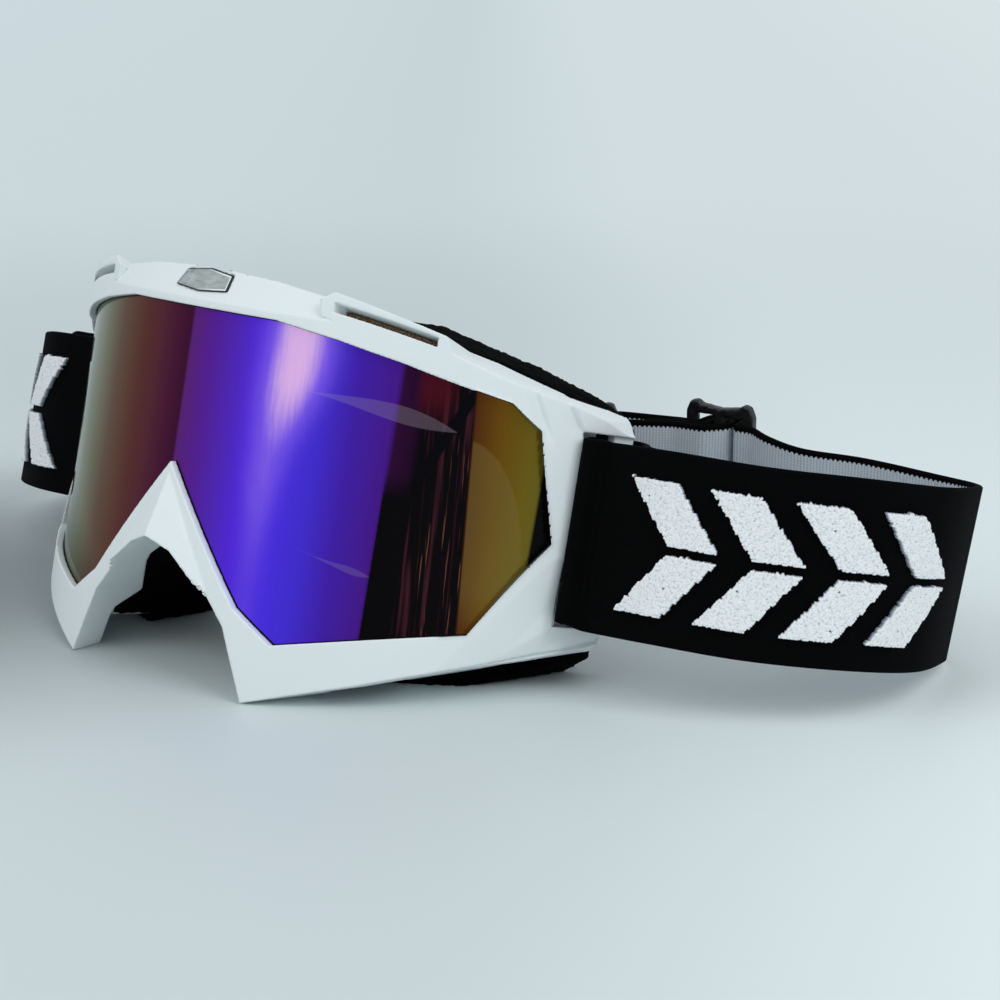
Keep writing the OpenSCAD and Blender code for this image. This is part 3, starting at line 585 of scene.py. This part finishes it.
def make_light():
    world = bpy.data.worlds.new("studio")
    world.use_nodes = True
    scene.world = world
    w = Nodes(world.node_tree)
    light, shown = w.node("Background"), w.node("Background")
    w.put(light.inputs["Color"], (0.93, 0.97, 1, 1))
    w.put(light.inputs["Strength"], 0.58)
    w.put(shown.inputs["Color"], linear(203, 216, 220))
    w.mixed(w.seen(), light.outputs[0], shown.outputs[0], "World Output")
    middle = Vector((0, 0, 0.04))
    for name, at, size, power in (
        ("key", (-0.25, -1.0, 0.92), 0.9, 4.6),
        ("right", (1.0, 0.0, 0.95), 0.7, 5.0),
        ("top", (0.2, 0.3, 1.5), 1.0, 0.5),
    ):
        lamp = bpy.data.lights.new(name, "AREA")
        lamp.shape, lamp.size, lamp.energy = "SQUARE", size, power
        obj = bpy.data.objects.new(name, lamp)
        obj.location = at
        obj.rotation_euler = (middle - Vector(at)).to_track_quat("-Z", "Y").to_euler()
        scene.collection.objects.link(obj)


# Lens

LENS_OUTLINE = [
    (0, LENS_H), (24, LENS_H), (39.5, LENS_H - 2.2), (53, LENS_H - 5), (72, 64.8), (76.6, 59.4), (80.2, 33.5),
    (70.4, 9.9), (34, 0), (23.7, 7), (0, 37.8),
]
# Rings of points this far outside the outline, a step apart, then a grid of cells inside them
LENS_RINGS, RING_STEP, LENS_CELL = (LENS_HOLD, 0, -0.45, -1.1), 1.2, 1.6


def both_sides(half):
    return [Vector(p) for p in half] + [Vector((-x, y)) for x, y in half[::-1] if x > 0.01]


def grown(points, d):
    """An outline moved out by d, with its corners kept sharp. It runs clockwise."""
    out = []
    for i, p in enumerate(points):
        before = (p - points[i - 1]).normalized()
        after = (points[(i + 1) % len(points)] - p).normalized()
        left, right = Vector((-before.y, before.x)), Vector((-after.y, after.x))
        out.append(p + (left + right) * d / (1 + left.dot(right)))
    return out


def divided(points, step):
    out = []
    for a, b in zip(points, points[1:] + points[:1]):
        n = max(1, round((b - a).length / step))
        out += [a.lerp(b, i / n) for i in range(n)]
    return out


def inside(points, outline):
    """Whether each point is inside the outline, and how far it is from it."""
    a = np.array([tuple(p) for p in outline])
    b = np.roll(a, -1, 0)
    p = np.asarray(points, float)
    ab = b - a
    t = np.clip(((p[:, None] - a) * ab).sum(2) / (ab * ab).sum(1), 0, 1)
    away = np.linalg.norm(p[:, None] - (a + t[..., None] * ab), axis=2).min(1)
    crosses = (a[:, 1] > p[:, None, 1]) != (b[:, 1] > p[:, None, 1])
    x = a[:, 0] + (p[:, None, 1] - a[:, 1]) / np.where(ab[:, 1] == 0, 1e-9, ab[:, 1]) * ab[:, 0]
    odd = (crosses & (p[:, None, 0] < x)).sum(1) % 2 == 1
    return odd, away


def step_between(x, low, high):
    t = np.clip((x - low) / (high - low), 0, 1)
    return t * t * (3 - 2 * t)


def open_edges(faces):
    """The edges that only one face has, in that face's direction."""
    used = {edge: None for f in faces for edge in zip(f, f[1:] + f[:1])}
    return [(a, b) for a, b in used if (b, a) not in used]


def make_lens():
    outline = both_sides(LENS_OUTLINE)
    points, edges = [], []
    for d in LENS_RINGS:
        ring = divided(grown(outline, d), RING_STEP)
        first = len(points)
        points += ring
        edges += [(first + i, first + (i + 1) % len(ring)) for i in range(len(ring))]
    grid = [
        (x * LENS_CELL, z * LENS_CELL + (x % 2) * LENS_CELL / 2)
        for x in range(-52, 53) for z in range(0, 48)
    ]
    ok, away = inside(grid, grown(outline, LENS_RINGS[-1]))
    points += [Vector(p) for p, o, d in zip(grid, ok, away) if o and d > 0.5]
    made = geometry.delaunay_2d_cdt(points, edges, [], 0, 1e-5)
    flat, faces = np.array([tuple(p) for p in made[0]]), [list(f) for f in made[2]]
    ok, _ = inside([flat[f].mean(0) for f in faces], grown(outline, LENS_HOLD + 0.001))
    n = len(flat)

    def anticlockwise(f):
        a, b, c = flat[f[:3]]
        return f if (b - a)[0] * (c - a)[1] > (b - a)[1] * (c - a)[0] else f[::-1]

    def at_radius(r):
        return np.column_stack([flat[:, 0], LENS_R - np.sqrt(r * r - flat[:, 0] ** 2), flat[:, 1]])

    # A face that runs anticlockwise in x and z looks to -Y
    front = [anticlockwise(f) for f, o in zip(faces, ok) if o]
    back = [[i + n for i in f[::-1]] for f in front]
    walls = [(b, a, a + n, b + n) for a, b in open_edges(front)]
    verts = seated(np.vstack([at_radius(LENS_R), at_radius(LENS_R - LENS_T)]))
    lens = new_piece("lens_mirrored", verts, front + back + walls)
    turn = np.arctan2(flat[:, 0], np.sqrt(LENS_R ** 2 - flat[:, 0] ** 2))
    ok, away = inside(flat, outline)
    columns = {"turn": np.degrees(turn), "height": flat[:, 1], "inset": np.where(ok, away, -away)}
    keep_values(lens, **{k: np.concatenate([v, v]) for k, v in columns.items()})
    # Every front and back normal points straight away from the lens's axis
    out = np.column_stack([np.sin(turn), -np.cos(turn) * LEAN_COS, np.cos(turn) * LEAN_SIN])
    custom = []
    for p in lens.data.polygons:
        loops = list(p.vertices)
        if max(loops) < n:
            custom += [tuple(out[i]) for i in loops]
        elif min(loops) >= n:
            custom += [tuple(-out[i - n]) for i in loops]
        else:
            custom += [tuple(p.normal)] * len(loops)
    lens.data.normals_split_custom_set(custom)
    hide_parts("lens")
    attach(lens, "root")
    dress(lens, lens_mirror())


# Frame

# Lines on the frame's face from one point to another, each point an angle about the lens's axis and a
# height. A fold also has its depth and how far it reaches, and a facet its slope and greatest depth
FOLDS = ((55.0, 68.4, 57.9, 59.8, 1.0, 3.4), (60.5, 67.0, 63.5, 60.2, 1.3, 4.4))
FACETS = ((47.8, 3.4, 51.0, 9.5, 0.13, 1.1), (56.8, 6.7, 64.5, 14.8, 0.3, 1.2))
FOLD_EDGE, FACETS_TOP = 0.7, 30
DEGREE = math.radians(1) * RIM_R
SKIN_FROM, SKIN_TO = RIM_R - 2.2, RIM_R - 0.9
# The lip over the lens's side is evened out from here across, between two heights, where it is near
# the lens's outline, and is kept this clear of it
LIP_X, LIP_LOW, LIP_HIGH, LIP_NEAR, LIP_CLEAR = 66, 8, 72, 1.5, 0.5


def shaped_face(co):
    """The moulded planes of the frame's front: what is near its outer skin is moved in a little."""
    own = unseated(co)
    x, y, z = own.T
    y = y - LENS_R
    r = np.hypot(x, y)
    side = np.abs(np.degrees(np.arctan2(x, -y)))
    skin = step_between(r, SKIN_FROM, SKIN_TO)
    move = np.zeros(len(own))
    # A fold runs up from each upper corner of the lens, and a second one from the strap's corner
    for a0, z0, a1, z1, depth, reach in FOLDS:
        along = (z - z1) / (z0 - z1)
        d = (side - (a1 + (a0 - a1) * along)) * DEGREE
        fade = step_between(along, -0.5, 0.25) * (1 - step_between(along, 1.15, 1.6))
        move -= depth * fade * np.clip(1 - np.where(d < 0, -d / reach, d / FOLD_EDGE), 0, 1)
    # The lower corner of the face turns in from one line, and its lowest edge from another
    for a0, z0, a1, z1, slope, most in FACETS:
        way = np.array([(a1 - a0) * DEGREE, z1 - z0])
        way /= np.linalg.norm(way)
        past = (side - a0) * DEGREE * way[1] - (z - z0) * way[0]
        move -= np.clip(past * slope, 0, most) * (z < FACETS_TOP)
    k = (r + skin * move) / np.maximum(r, 1e-6)
    own = np.column_stack([x * k, LENS_R + y * k, z])
    # Where the lip over the lens's side runs out thin, its edge is drawn back evenly
    thin = np.flatnonzero((r > LENS_R + 0.2) & (np.abs(x) > LIP_X) & (z > LIP_LOW) & (z < LIP_HIGH))
    flat = own[thin][:, [0, 2]]
    ok, away = inside(flat, both_sides(LENS_OUTLINE))
    outside = np.where(ok, -away, away)
    short = LIP_CLEAR * np.clip((r[thin] - LENS_R) / (RIM_R - LENS_R), 0, 1) - outside
    near = (short > 0) & (away < LIP_NEAR)
    towards = flat[near] - [0, LENS_H / 2]
    towards /= np.linalg.norm(towards, axis=1)[:, None]
    own[thin[near][:, None], [0, 2]] = flat[near] + towards * short[near][:, None]
    return seated(own)


def make_frame():
    shell = softened("frame", "frame_shell", 0.37, 3, shaped_face, True)
    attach(shell, "root")
    dress(shell, frame_plastic())


def make_badge():
    badge = softened("brow_badge", "brow_badge_plate", 0.14, 3)
    own = unseated(coords(badge))
    outline = both_sides([(0, 2.9), (7.6, 1.9), (8.4, -2.1), (0, -2.9)])
    _, away = inside(own[:, [0, 2]] - [0, BADGE_Z], outline)
    keep_values(badge, inset=away, across=own[:, 0])
    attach(badge, "root")
    dress(badge, badge_metal())


def make_padding():
    tan = open_foam("vent_foam", linear(96, 78, 60), linear(168, 142, 112), 0.55)
    film = open_foam("vent_film", linear(14, 14, 15), linear(52, 52, 55), 0.5)
    black = open_foam("face_foam", linear(1, 1, 1.2), linear(4, 4, 4.5), 0.7, 0.2)
    for node, piece, voxel, rounds, grain, depth, seed, fill, shader, slot in (
        ("vent_foam_right", "vent_foam_right_pad", 0.45, 3, 0.8, 0.12, 3.0, 1, tan, "vent_foam"),
        ("vent_foam_left", "vent_foam_left_pad", 0.45, 3, 0.8, 0.12, 3.0, 1, tan, "vent_foam"),
        ("lower_vent_foam", "lower_vent_pads", 0.4, 3, 0.8, 0.1, 5.0, 1, film, "vent_film"),
        ("face_foam", "face_foam_pad", 0.9, 5, 2.2, 0.28, 7.0, 0.9, black, "face_foam"),
        ("fleece_liner", "fleece_liner_pad", 0.6, 4, 1.1, 0.3, 9.0, 0.8, fleece(), "fleece"),
    ):
        pad = softened(node, piece, voxel, rounds)
        roughened(pad, grain, depth, seed)
        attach(pad, "root")
        dress(pad, shader)


# Strap's route, as in the part's source: a point on the lower edge, then the lean of the upper edge

SLIDER_LEN, SLIDER_T, SLIDER_BAR = 19, 2.6, 3
WEAVE_GAP, LAYER_GAP = 0.25, 0.6
STRAP_Z, END_STRAP_Z, STEPS, END_PLY = 5.2, 6.2, 8, 10
REACH = SLIDER_LEN / 2 + 0.7
HUG = SLIDER_T / 2 + STRAP_T / 2 + WEAVE_GAP
LAYER = STRAP_T + LAYER_GAP
LOOP_A = SLIDER_BAR / 2 + STRAP_T / 2 + 0.45
PASS_A = LOOP_A + STRAP_T + WEAVE_GAP + 0.1
# The last turns, out of the slot, are a little fuller than the source's
EAR_TURNS = [
    (1.6, 17.2), (1.3, 13.1), (2.1, 8.4), (5, 1), (5.7, -2.5), (4.5, -5.2), (2.05, -5.75), (-0.2, -5.2),
    (-1.5, -3.2), (-3.1, -1.5), (-4.5, -0.1), (-5.6, 1.3), (-5.9, 2.7), (-4.9, 3.5), (-3.5, 3.2),
]


def ear_row(turn, side):
    """A turn at the ear as a row: its angle past the slot and its distance out from the rim."""
    a, r = math.radians(SLOT_TO + turn[0]), RIM_R + turn[1]
    y = LENS_R - r * math.cos(a)
    back = y * LEAN_COS + EAR_STRAP_Z * LEAN_SIN
    up = EAR_STRAP_Z * LEAN_COS - y * LEAN_SIN + REST_H
    return (side * r * math.sin(a), back, up, 0, STRAP_W * LEAN_SIN)


EAR_FRONT = ear_row((-3, 2.75), 1)


def from_ear(row, side=1):
    """A row measured from the strap's front at the right ear. With side -1 it is mirrored."""
    return (side * (EAR_FRONT[0] + row[0]), EAR_FRONT[1] + row[1]) + tuple(row[2:])


RIGHT_STATIONS = [from_ear(r) for r in (
    (1.9, 0.1, 16.6, 0, 11.1), (20.4, 0.6, 17.5, 0, 9), (41.4, 8.6, 16, 1, 7), (59.4, 22.1, 14, 2, 5),
    (65.4, 43.1, 9, 4, 4.5), (60.9, 64.6, 4, 5.5, 4), (55.4, 75.6, 1.5, 5, 3), (45.4, 81.1, 0.3, 3, 1.5),
    (27.4, 80.6, 1.2, 1, 0.5), (13.4, 74.6, 2.6, 1, 0), (4.4, 73.6, 4.2, 0.4, 0),
)]
LEFT_STATIONS = [from_ear(r, -1) for r in (
    (1.9, 0.1, 16.6, 0, 11.1), (20.4, 1.6, 15.5, 1, 9), (40.4, 12.6, 12, 8, 6), (50.4, 29.6, 8.5, 12, 4),
    (45.4, 43.6, 6.5, 11, 3), (27.4, 50.6, 6, 6, 2), (-6.6, 52.6, 5.6, 2, 1),
)] + [from_ear(r) for r in ((-121.6, 51.6, 5.4, 0, 0), (-76.6, 50.6, 5.2, 0, 0))]
RIGHT_SLIDER = from_ear((-12.1, 76.6, 0, 0, 0))[:2] + (8,)
LEFT_SLIDER = from_ear((-40.1, 54.1, 0, 0, 0))[:2] + (30,)
PASS_TURNS = [
    (REACH, -HUG), (PASS_A + 0.6, -HUG), (PASS_A, HUG + STRAP_T + WEAVE_GAP),
    (-PASS_A, HUG + STRAP_T + WEAVE_GAP), (-PASS_A - 0.6, -HUG), (-REACH, -HUG),
]
END_TURNS = [
    (-REACH, -HUG - 2 * LAYER), (0.95 - LOOP_A, -HUG - 2 * LAYER), (LOOP_A - 0.45, -HUG), (LOOP_A, -HUG / 2),
    (LOOP_A, HUG / 2), (LOOP_A - 0.45, HUG), (0.45 - LOOP_A, HUG), (-LOOP_A, HUG / 2),
    (-LOOP_A - 0.15, -HUG - 0.25), (-LOOP_A - 0.85, -HUG - LAYER), (-REACH, -HUG - LAYER),
]


def slider_rows(slider, turns, flip, z):
    """Turns at a slider as rows. Each is a step along it and one across it, and flip -1 turns it about."""
    x, y, turned = slider
    c, s = math.cos(math.radians(turned)), math.sin(math.radians(turned))
    return [(x + flip * (a * c - n * s), y + flip * (a * s + n * c), z, 0, 0) for a, n in turns]


def curve(rows):
    """A smooth curve through the rows."""
    p = np.array(rows, float)
    p = np.vstack([2 * p[0] - p[1], p, 2 * p[-1] - p[-2]])
    out = []
    for i in range(len(rows) - 1):
        a, b, c, d = p[i:i + 4]
        for k in range(STEPS):
            f = k / STEPS
            bend = (2 * a - 5 * b + 4 * c - d) * f ** 2 + (3 * b - a - 3 * c + d) * f ** 3
            out.append((2 * b + (c - a) * f + bend) / 2)
    return [tuple(r) for r in out] + [tuple(p[-2])]


def whole_route(side, stations, through, end):
    """The turns at the ear, the smooth run to a slider, the way through it, and the end at the other one."""
    return [ear_row(t, side) for t in EAR_TURNS] + curve(stations + through[:1]) + through[1:] + end


RIGHT_PASS = slider_rows(RIGHT_SLIDER, PASS_TURNS, 1, STRAP_Z)
LEFT_PASS = slider_rows(LEFT_SLIDER, PASS_TURNS, -1, STRAP_Z)
LEFT_END = slider_rows(RIGHT_SLIDER, END_TURNS, 1, STRAP_Z)
RIGHT_END = slider_rows(LEFT_SLIDER, END_TURNS, -1, END_STRAP_Z)
PLY_WAY = (Vector(LEFT_PASS[-1][:2]) - Vector(LEFT_END[0][:2])).normalized()
PLY_TIP = Vector(LEFT_END[-1][:2]) + PLY_WAY * END_PLY
RIGHT_ROUTE = whole_route(1, RIGHT_STATIONS, RIGHT_PASS, RIGHT_END)
LEFT_ROUTE = whole_route(-1, LEFT_STATIONS, LEFT_PASS, LEFT_END + [(PLY_TIP[0], PLY_TIP[1], STRAP_Z, 0, 0)])

SIDE_FROM = len(EAR_TURNS)
FOLD_FROM, FOLD_TO = SIDE_FROM + 5 * STEPS, SIDE_FROM + 7 * STEPS
RIGHT_REAR_TO = SIDE_FROM + len(RIGHT_STATIONS) * STEPS + len(RIGHT_PASS) - 1
LEFT_REAR_TO = SIDE_FROM + len(LEFT_STATIONS) * STEPS + len(LEFT_PASS) - 1


# The step at which a route is drawn, and how many steps and how wide a turn is rounded over
ROUTE_STEP, ROUND_STEPS, ROUND_WIDTH = 0.5, 4, 0.9


class Route:
    """A strap half's route, drawn finely and with its turns rounded. s is the length along it, from
    the strap's front. out is 1 or -1, for the side of the route that the black face is on."""

    def __init__(self, rows, out):
        rows = np.array(rows, float)
        self.out = out
        steps = np.linalg.norm(np.diff(rows[:, :3], axis=0), axis=1)
        length = np.concatenate([[0], np.cumsum(steps)])
        self.row_s = length - length[SIDE_FROM]
        self.s = np.arange(self.row_s[0], self.row_s[-1] + ROUTE_STEP / 2, ROUTE_STEP)
        fine = np.column_stack([np.interp(self.s, self.row_s, rows[:, k]) for k in range(5)])
        n = ROUND_STEPS
        weight = np.exp(-(np.arange(-n, n + 1) * ROUTE_STEP / ROUND_WIDTH) ** 2)
        weight /= weight.sum()
        longer = np.vstack([2 * fine[0] - fine[n:0:-1], fine, 2 * fine[-1] - fine[-2:-n - 2:-1]])
        rounded = np.column_stack([np.convolve(longer[:, k], weight, "valid") for k in range(5)])
        self.place, lean = rounded[:, :3], rounded[:, 3:]
        self.up = np.column_stack([lean, np.sqrt(STRAP_W ** 2 - (lean ** 2).sum(1))]) / STRAP_W
        across = np.cross(np.gradient(self.place, axis=0), self.up)
        self.across = out * across / np.linalg.norm(across, axis=1)[:, None]

    def at(self, s, h, d):
        """Points s along the strap, h up it and d out of its middle towards the black face."""
        def pick(table):
            return np.column_stack([np.interp(s, self.s, table[:, k]) for k in range(3)])

        across = pick(self.across)
        across /= np.linalg.norm(across, axis=1)[:, None]
        h, d = np.broadcast_to(h, len(s)), np.broadcast_to(d, len(s))
        return laid(pick(self.place) + pick(self.up) * h[:, None] + across * d[:, None])


RIGHT, LEFT = Route(RIGHT_ROUTE, 1), Route(LEFT_ROUTE, -1)


def strap_ring():
    """The strap's cross-section with rounded edges: the height of each point, how far it is from the
    middle towards the black face, and from 1 on that face to -1 on the inner one."""
    half = STRAP_T / 2 - 0.03
    nearly = half * 0.62
    levels = [0.4, 1.0, *np.linspace(2.2, STRAP_W - 2.2, 26), STRAP_W - 1.0, STRAP_W - 0.4]
    ring = [(0.0, 0.0), (0.1, nearly)] + [(h, half) for h in levels]
    ring += [(STRAP_W - 0.1, nearly), (STRAP_W, 0.0), (STRAP_W - 0.1, -nearly)]
    ring += [(h, -half) for h in levels[::-1]] + [(0.1, -nearly)]
    h, d = np.array(ring).T
    return h, d, np.clip(d / half, -1, 1)


# The step along a ribbon, the radius of its corners, and how far either side of its mouth the ear's
# slot gathers it
RIBBON_STEP, CORNER_R, GATHER = 0.8, 2.5, 3.4


def ribbon(name, route, s0, s1, shader, ends):
    """A length of the strap. Where an end is open, its corners are rounded off."""
    n = max(2, round((s1 - s0) / RIBBON_STEP))
    along = np.linspace(s0, s1, n + 1)
    h, d, face = strap_ring()
    m = len(h)
    mouth = route.row_s[SIDE_FROM - 3]
    verts = []
    for s in along:
        # The slot gathers the strap a little, so its corners look rounded there
        gathered = math.exp(-((s - mouth) / GATHER) ** 4)
        below, above = 0.8 * gathered, 0.3 * gathered
        for open_end, end in zip(ends, (s0, s1)):
            gap = abs(s - end)
            if open_end and gap < CORNER_R:
                corner = CORNER_R - math.sqrt(CORNER_R ** 2 - (CORNER_R - gap) ** 2)
                below, above = max(below, corner), max(above, corner)
        k = (STRAP_W - below - above) / STRAP_W
        verts.append(route.at(np.full(m, s), below + h * k, d))
    faces = [
        (i * m + j, i * m + (j + 1) % m, (i + 1) * m + (j + 1) % m, (i + 1) * m + j)
        for i in range(n) for j in range(m)
    ]
    faces += [tuple(range(m))[::-1], tuple(n * m + j for j in range(m))]
    # Which way round depends on the side that the black face is on
    if route.out > 0:
        faces = [f[::-1] for f in faces]
    obj = new_piece(name, np.vstack(verts), faces)
    keep_values(obj, run=np.repeat(along, m), rise=np.tile(h, n + 1), face=np.tile(face, n + 1))
    for p in obj.data.polygons:
        if len(p.vertices) > 4:
            p.use_smooth = False
    return dress(obj, shader)


def middle_point(route, s):
    return tuple(route.at(np.array([s]), STRAP_W / 2, 0.0)[0])


def row_point(row):
    return tuple(laid(row[:3])[0])


# A side's middle is marked this far along the strap and this share of the way to its end, and the right
# half's rear this length before the slider
SIDE_START, SIDE_SHARE, SLIDE_RUN = 4.0, 0.9, 24


def make_straps():
    knit = strap_knit()
    cuts = {
        "right": (RIGHT, {
            "loop": 0, "side": SIDE_FROM, "fold": FOLD_FROM, "rear": FOLD_TO, "end": RIGHT_REAR_TO,
        }),
        "left": (LEFT, {"loop": 0, "side": SIDE_FROM, "rear": FOLD_FROM, "end": LEFT_REAR_TO}),
    }
    made, side_ends = {}, {}
    for half, (route, parts) in cuts.items():
        cut_s = [route.row_s[row] for row in parts.values()] + [route.row_s[-1]]
        for part, s0, s1 in zip(parts, cut_s, cut_s[1:]):
            node = "strap_%s_%s" % (half, part)
            obj = ribbon(node + "_knit", route, s0, s1, knit, (part == "loop", part == "end"))
            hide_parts(node)
            made[node] = obj
        # Two points on a side's middle: near its front, and a little before its end, where its edge leans
        # back
        front = Vector(middle_point(route, SIDE_START))
        back = Vector(middle_point(route, route.row_s[FOLD_FROM] - 2))
        side_ends[half] = tuple(front), tuple(front.lerp(back, SIDE_SHARE))
        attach(made["strap_%s_loop" % half], "root")
        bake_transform(made["strap_%s_side" % half])
    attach(made["strap_right_fold"], "strap_rear")
    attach(made["strap_left_rear"], "strap_rear")
    still = middle_point(RIGHT, RIGHT.row_s[FOLD_TO] + 1)
    slid = middle_point(RIGHT, RIGHT.row_s[RIGHT_REAR_TO] - SLIDE_RUN)
    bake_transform(made["strap_right_rear"])
    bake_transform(made["strap_right_end"])
    end_ends = row_point(LEFT_PASS[-1]), row_point(LEFT_END[0])
    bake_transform(made["strap_left_end"])
    return side_ends, end_ends


# Motifs: chevrons of looped pile

MOTIFS, MOTIF_FROM, MOTIF_PITCH = 4, 9, 19.5
ARM_W, ARM_RUN, ARM_MARGIN, ARM_GAP = 12.5, 12, 6.5, 1.4
PILE_CELL, LOOP_PITCH, LOOP_R = 0.2, 0.62, 0.44
# Loops keep this far inside the outline, and are shifted up to this far from their grid. The height
# field goes this far past the outline, and is kept where it is at least this high
LOOP_INSET, LOOP_SHIFT, PILE_BORDER, PILE_EDGE = 0.3, 0.12, 0.6, 0.05
# How far the pile's ground stands off the strap, and how much higher its loops are
PILE_GROUND, PILE_LOOPS = 0.9, 0.42


def arm_corners(n, rise):
    """The outline of a chevron's arm along and up the strap. rise is 1 for an upper arm, -1 for a lower."""
    s0 = MOTIF_FROM + n * MOTIF_PITCH
    arm_h = STRAP_W / 2 - ARM_MARGIN - ARM_GAP / 2
    inner, outer = STRAP_W / 2 + rise * ARM_GAP / 2, STRAP_W / 2 + rise * (ARM_GAP / 2 + arm_h)
    return [(s0 + ARM_RUN, inner), (s0 + ARM_RUN + ARM_W, inner), (s0 + ARM_W, outer), (s0, outer)]


def looped(corners, random):
    """Small loops inside the corners, as a height field: its points, their heights and its cells."""
    low, high = np.min(corners, 0), np.max(corners, 0)
    # The loops' middles, on a jittered triangular grid
    loops = np.array([
        (s, h) for j, h in enumerate(np.arange(low[1], high[1], LOOP_PITCH * 0.87))
        for s in np.arange(low[0] + (j % 2) * LOOP_PITCH / 2, high[0], LOOP_PITCH)
    ])
    loops += random.uniform(-LOOP_SHIFT, LOOP_SHIFT, loops.shape)
    ok, away = inside(loops, corners)
    loops = loops[ok & (away > LOOP_INSET)]
    tall = random.uniform(0.78, 1.0, len(loops))
    ss = np.arange(low[0] - PILE_BORDER, high[0] + PILE_BORDER, PILE_CELL)
    hh = np.arange(low[1] - PILE_BORDER, high[1] + PILE_BORDER, PILE_CELL)
    grid = np.array([(s, h) for h in hh for s in ss])
    height = np.zeros(len(grid))
    for middle, t in zip(loops, tall):
        near = (np.abs(grid - middle) < LOOP_R).all(1)
        d2 = ((grid[near] - middle) ** 2).sum(1) / LOOP_R ** 2
        height[near] = np.maximum(height[near], t * np.sqrt(np.clip(1 - d2, 0, 1)))
    on = (height > PILE_EDGE).reshape(len(hh), len(ss))
    j, i = np.nonzero(on[:-1, :-1] & on[:-1, 1:] & on[1:, 1:] & on[1:, :-1])
    first = j * len(ss) + i
    cells = np.column_stack([first, first + 1, first + len(ss) + 1, first + len(ss)])
    kept = np.unique(cells)
    return grid[kept], height[kept], np.searchsorted(kept, cells).tolist()


def pile(name, route, node, shader, seed):
    random = np.random.default_rng(seed)
    verts, faces, tips, runs, rises = [], [], [], [], []
    for n in range(MOTIFS):
        for rise in (-1, 1):
            at, height, cells = looped(arm_corners(n, rise), random)
            s, h = at.T
            base, m = len(verts), len(s)
            top = STRAP_T / 2 + PILE_GROUND + PILE_LOOPS * height
            verts += [*route.at(s, h, top), *route.at(s, h, STRAP_T / 2 - 0.1)]
            tips += [*height, *np.zeros(m)]
            runs += [*s, *s]
            rises += [*h, *h]
            for q in cells:
                faces.append([base + v for v in q])
                faces.append([base + m + v for v in q[::-1]])
            faces += [(base + b, base + a, base + m + a, base + m + b) for a, b in open_edges(cells)]
    if route.out < 0:
        faces = [f[::-1] for f in faces]
    obj = new_piece(name, verts, faces)
    keep_values(obj, tip=tips, run=runs, rise=rises)
    modify(obj, "SMOOTH", factor=0.4, iterations=1)
    apply_modifiers(obj)
    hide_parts(node)
    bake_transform(obj)
    dress(obj, shader)


# Hardware and sewing

def make_sliders():
    plastic = slider_plastic()
    for side, body in (("right", "slider"), ("left", "strap_rear")):
        obj = softened(side + "_slider", side + "_slider_moulded", 0.35, 4)
        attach(obj, body)
        dress(obj, plastic)


STITCH_PITCH, STITCH_LONG, STITCH_R = 2.6, 2.1, 0.28
STITCH_MARGIN, STITCH_BOW, STITCH_SIDES, STITCH_RINGS = 2.4, 0.16, 6, 6


def stitches(name, node, seams, shader):
    """Rows of short raised stitches up the strap. Each seam is a route, an s and the face it is on."""
    verts, faces = [], []
    for route, s, face in seams:
        for h in np.arange(STITCH_MARGIN, STRAP_W - STITCH_MARGIN, STITCH_PITCH):
            ring_points = []
            for t in np.linspace(0, 1, STITCH_RINGS):
                bow = math.sin(math.pi * t)
                radius = STITCH_R * (0.45 + 0.55 * bow)
                for k in range(STITCH_SIDES):
                    a = 2 * math.pi * k / STITCH_SIDES
                    out = STRAP_T / 2 + 0.02 + STITCH_BOW * bow + radius * math.sin(a)
                    ring_points.append((s + radius * math.cos(a), h + (t - 0.5) * STITCH_LONG, face * out))
            base = len(verts)
            last = base + (STITCH_RINGS - 1) * STITCH_SIDES
            verts += list(route.at(*np.array(ring_points).T))
            for ring in range(base, last, STITCH_SIDES):
                for k in range(STITCH_SIDES):
                    a, b = ring + k, ring + (k + 1) % STITCH_SIDES
                    faces.append((a, b, b + STITCH_SIDES, a + STITCH_SIDES))
            faces.append(range(base, base + STITCH_SIDES)[::-1])
            faces.append(range(last, last + STITCH_SIDES))
    obj = new_piece(name, verts, faces)
    box = bmesh.new()
    box.from_mesh(obj.data)
    bmesh.ops.recalc_face_normals(box, faces=box.faces)
    box.to_mesh(obj.data)
    box.free()
    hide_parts(node)
    return dress(obj, shader)


def seam_s(route, row, share):
    """How far along its route a seam is, a share of the way from one row to the next."""
    return route.row_s[row] + share * (route.row_s[row + 1] - route.row_s[row])


make_camera()
make_floor()
make_light()
make_frame()
make_lens()
make_badge()
make_padding()
blend_ends, end_ends = make_straps()
white = chenille()
pile("motifs_right_pile", RIGHT, "motifs_right", white, 11)
pile("motifs_left_pile", LEFT, "motifs_left", white, 12)
make_sliders()
sewing = thread()
ear_seams = [(route, seam_s(route, 0, 0.42), 1) for route in (RIGHT, LEFT)]
left_seam = (LEFT, seam_s(LEFT, LEFT_REAR_TO, 0.23), -1)
right_seam = (RIGHT, seam_s(RIGHT, RIGHT_REAR_TO + 1, 0.16), 1)
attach(stitches("ear_stitches", "ear_stitching", ear_seams, sewing), "root")
left_sewing = stitches("left_end_stitches", "left_end_stitching", [left_seam], sewing)
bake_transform(left_sewing)
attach(stitches("right_end_stitches", "right_end_stitching", [right_seam], sewing), "strap_rear")
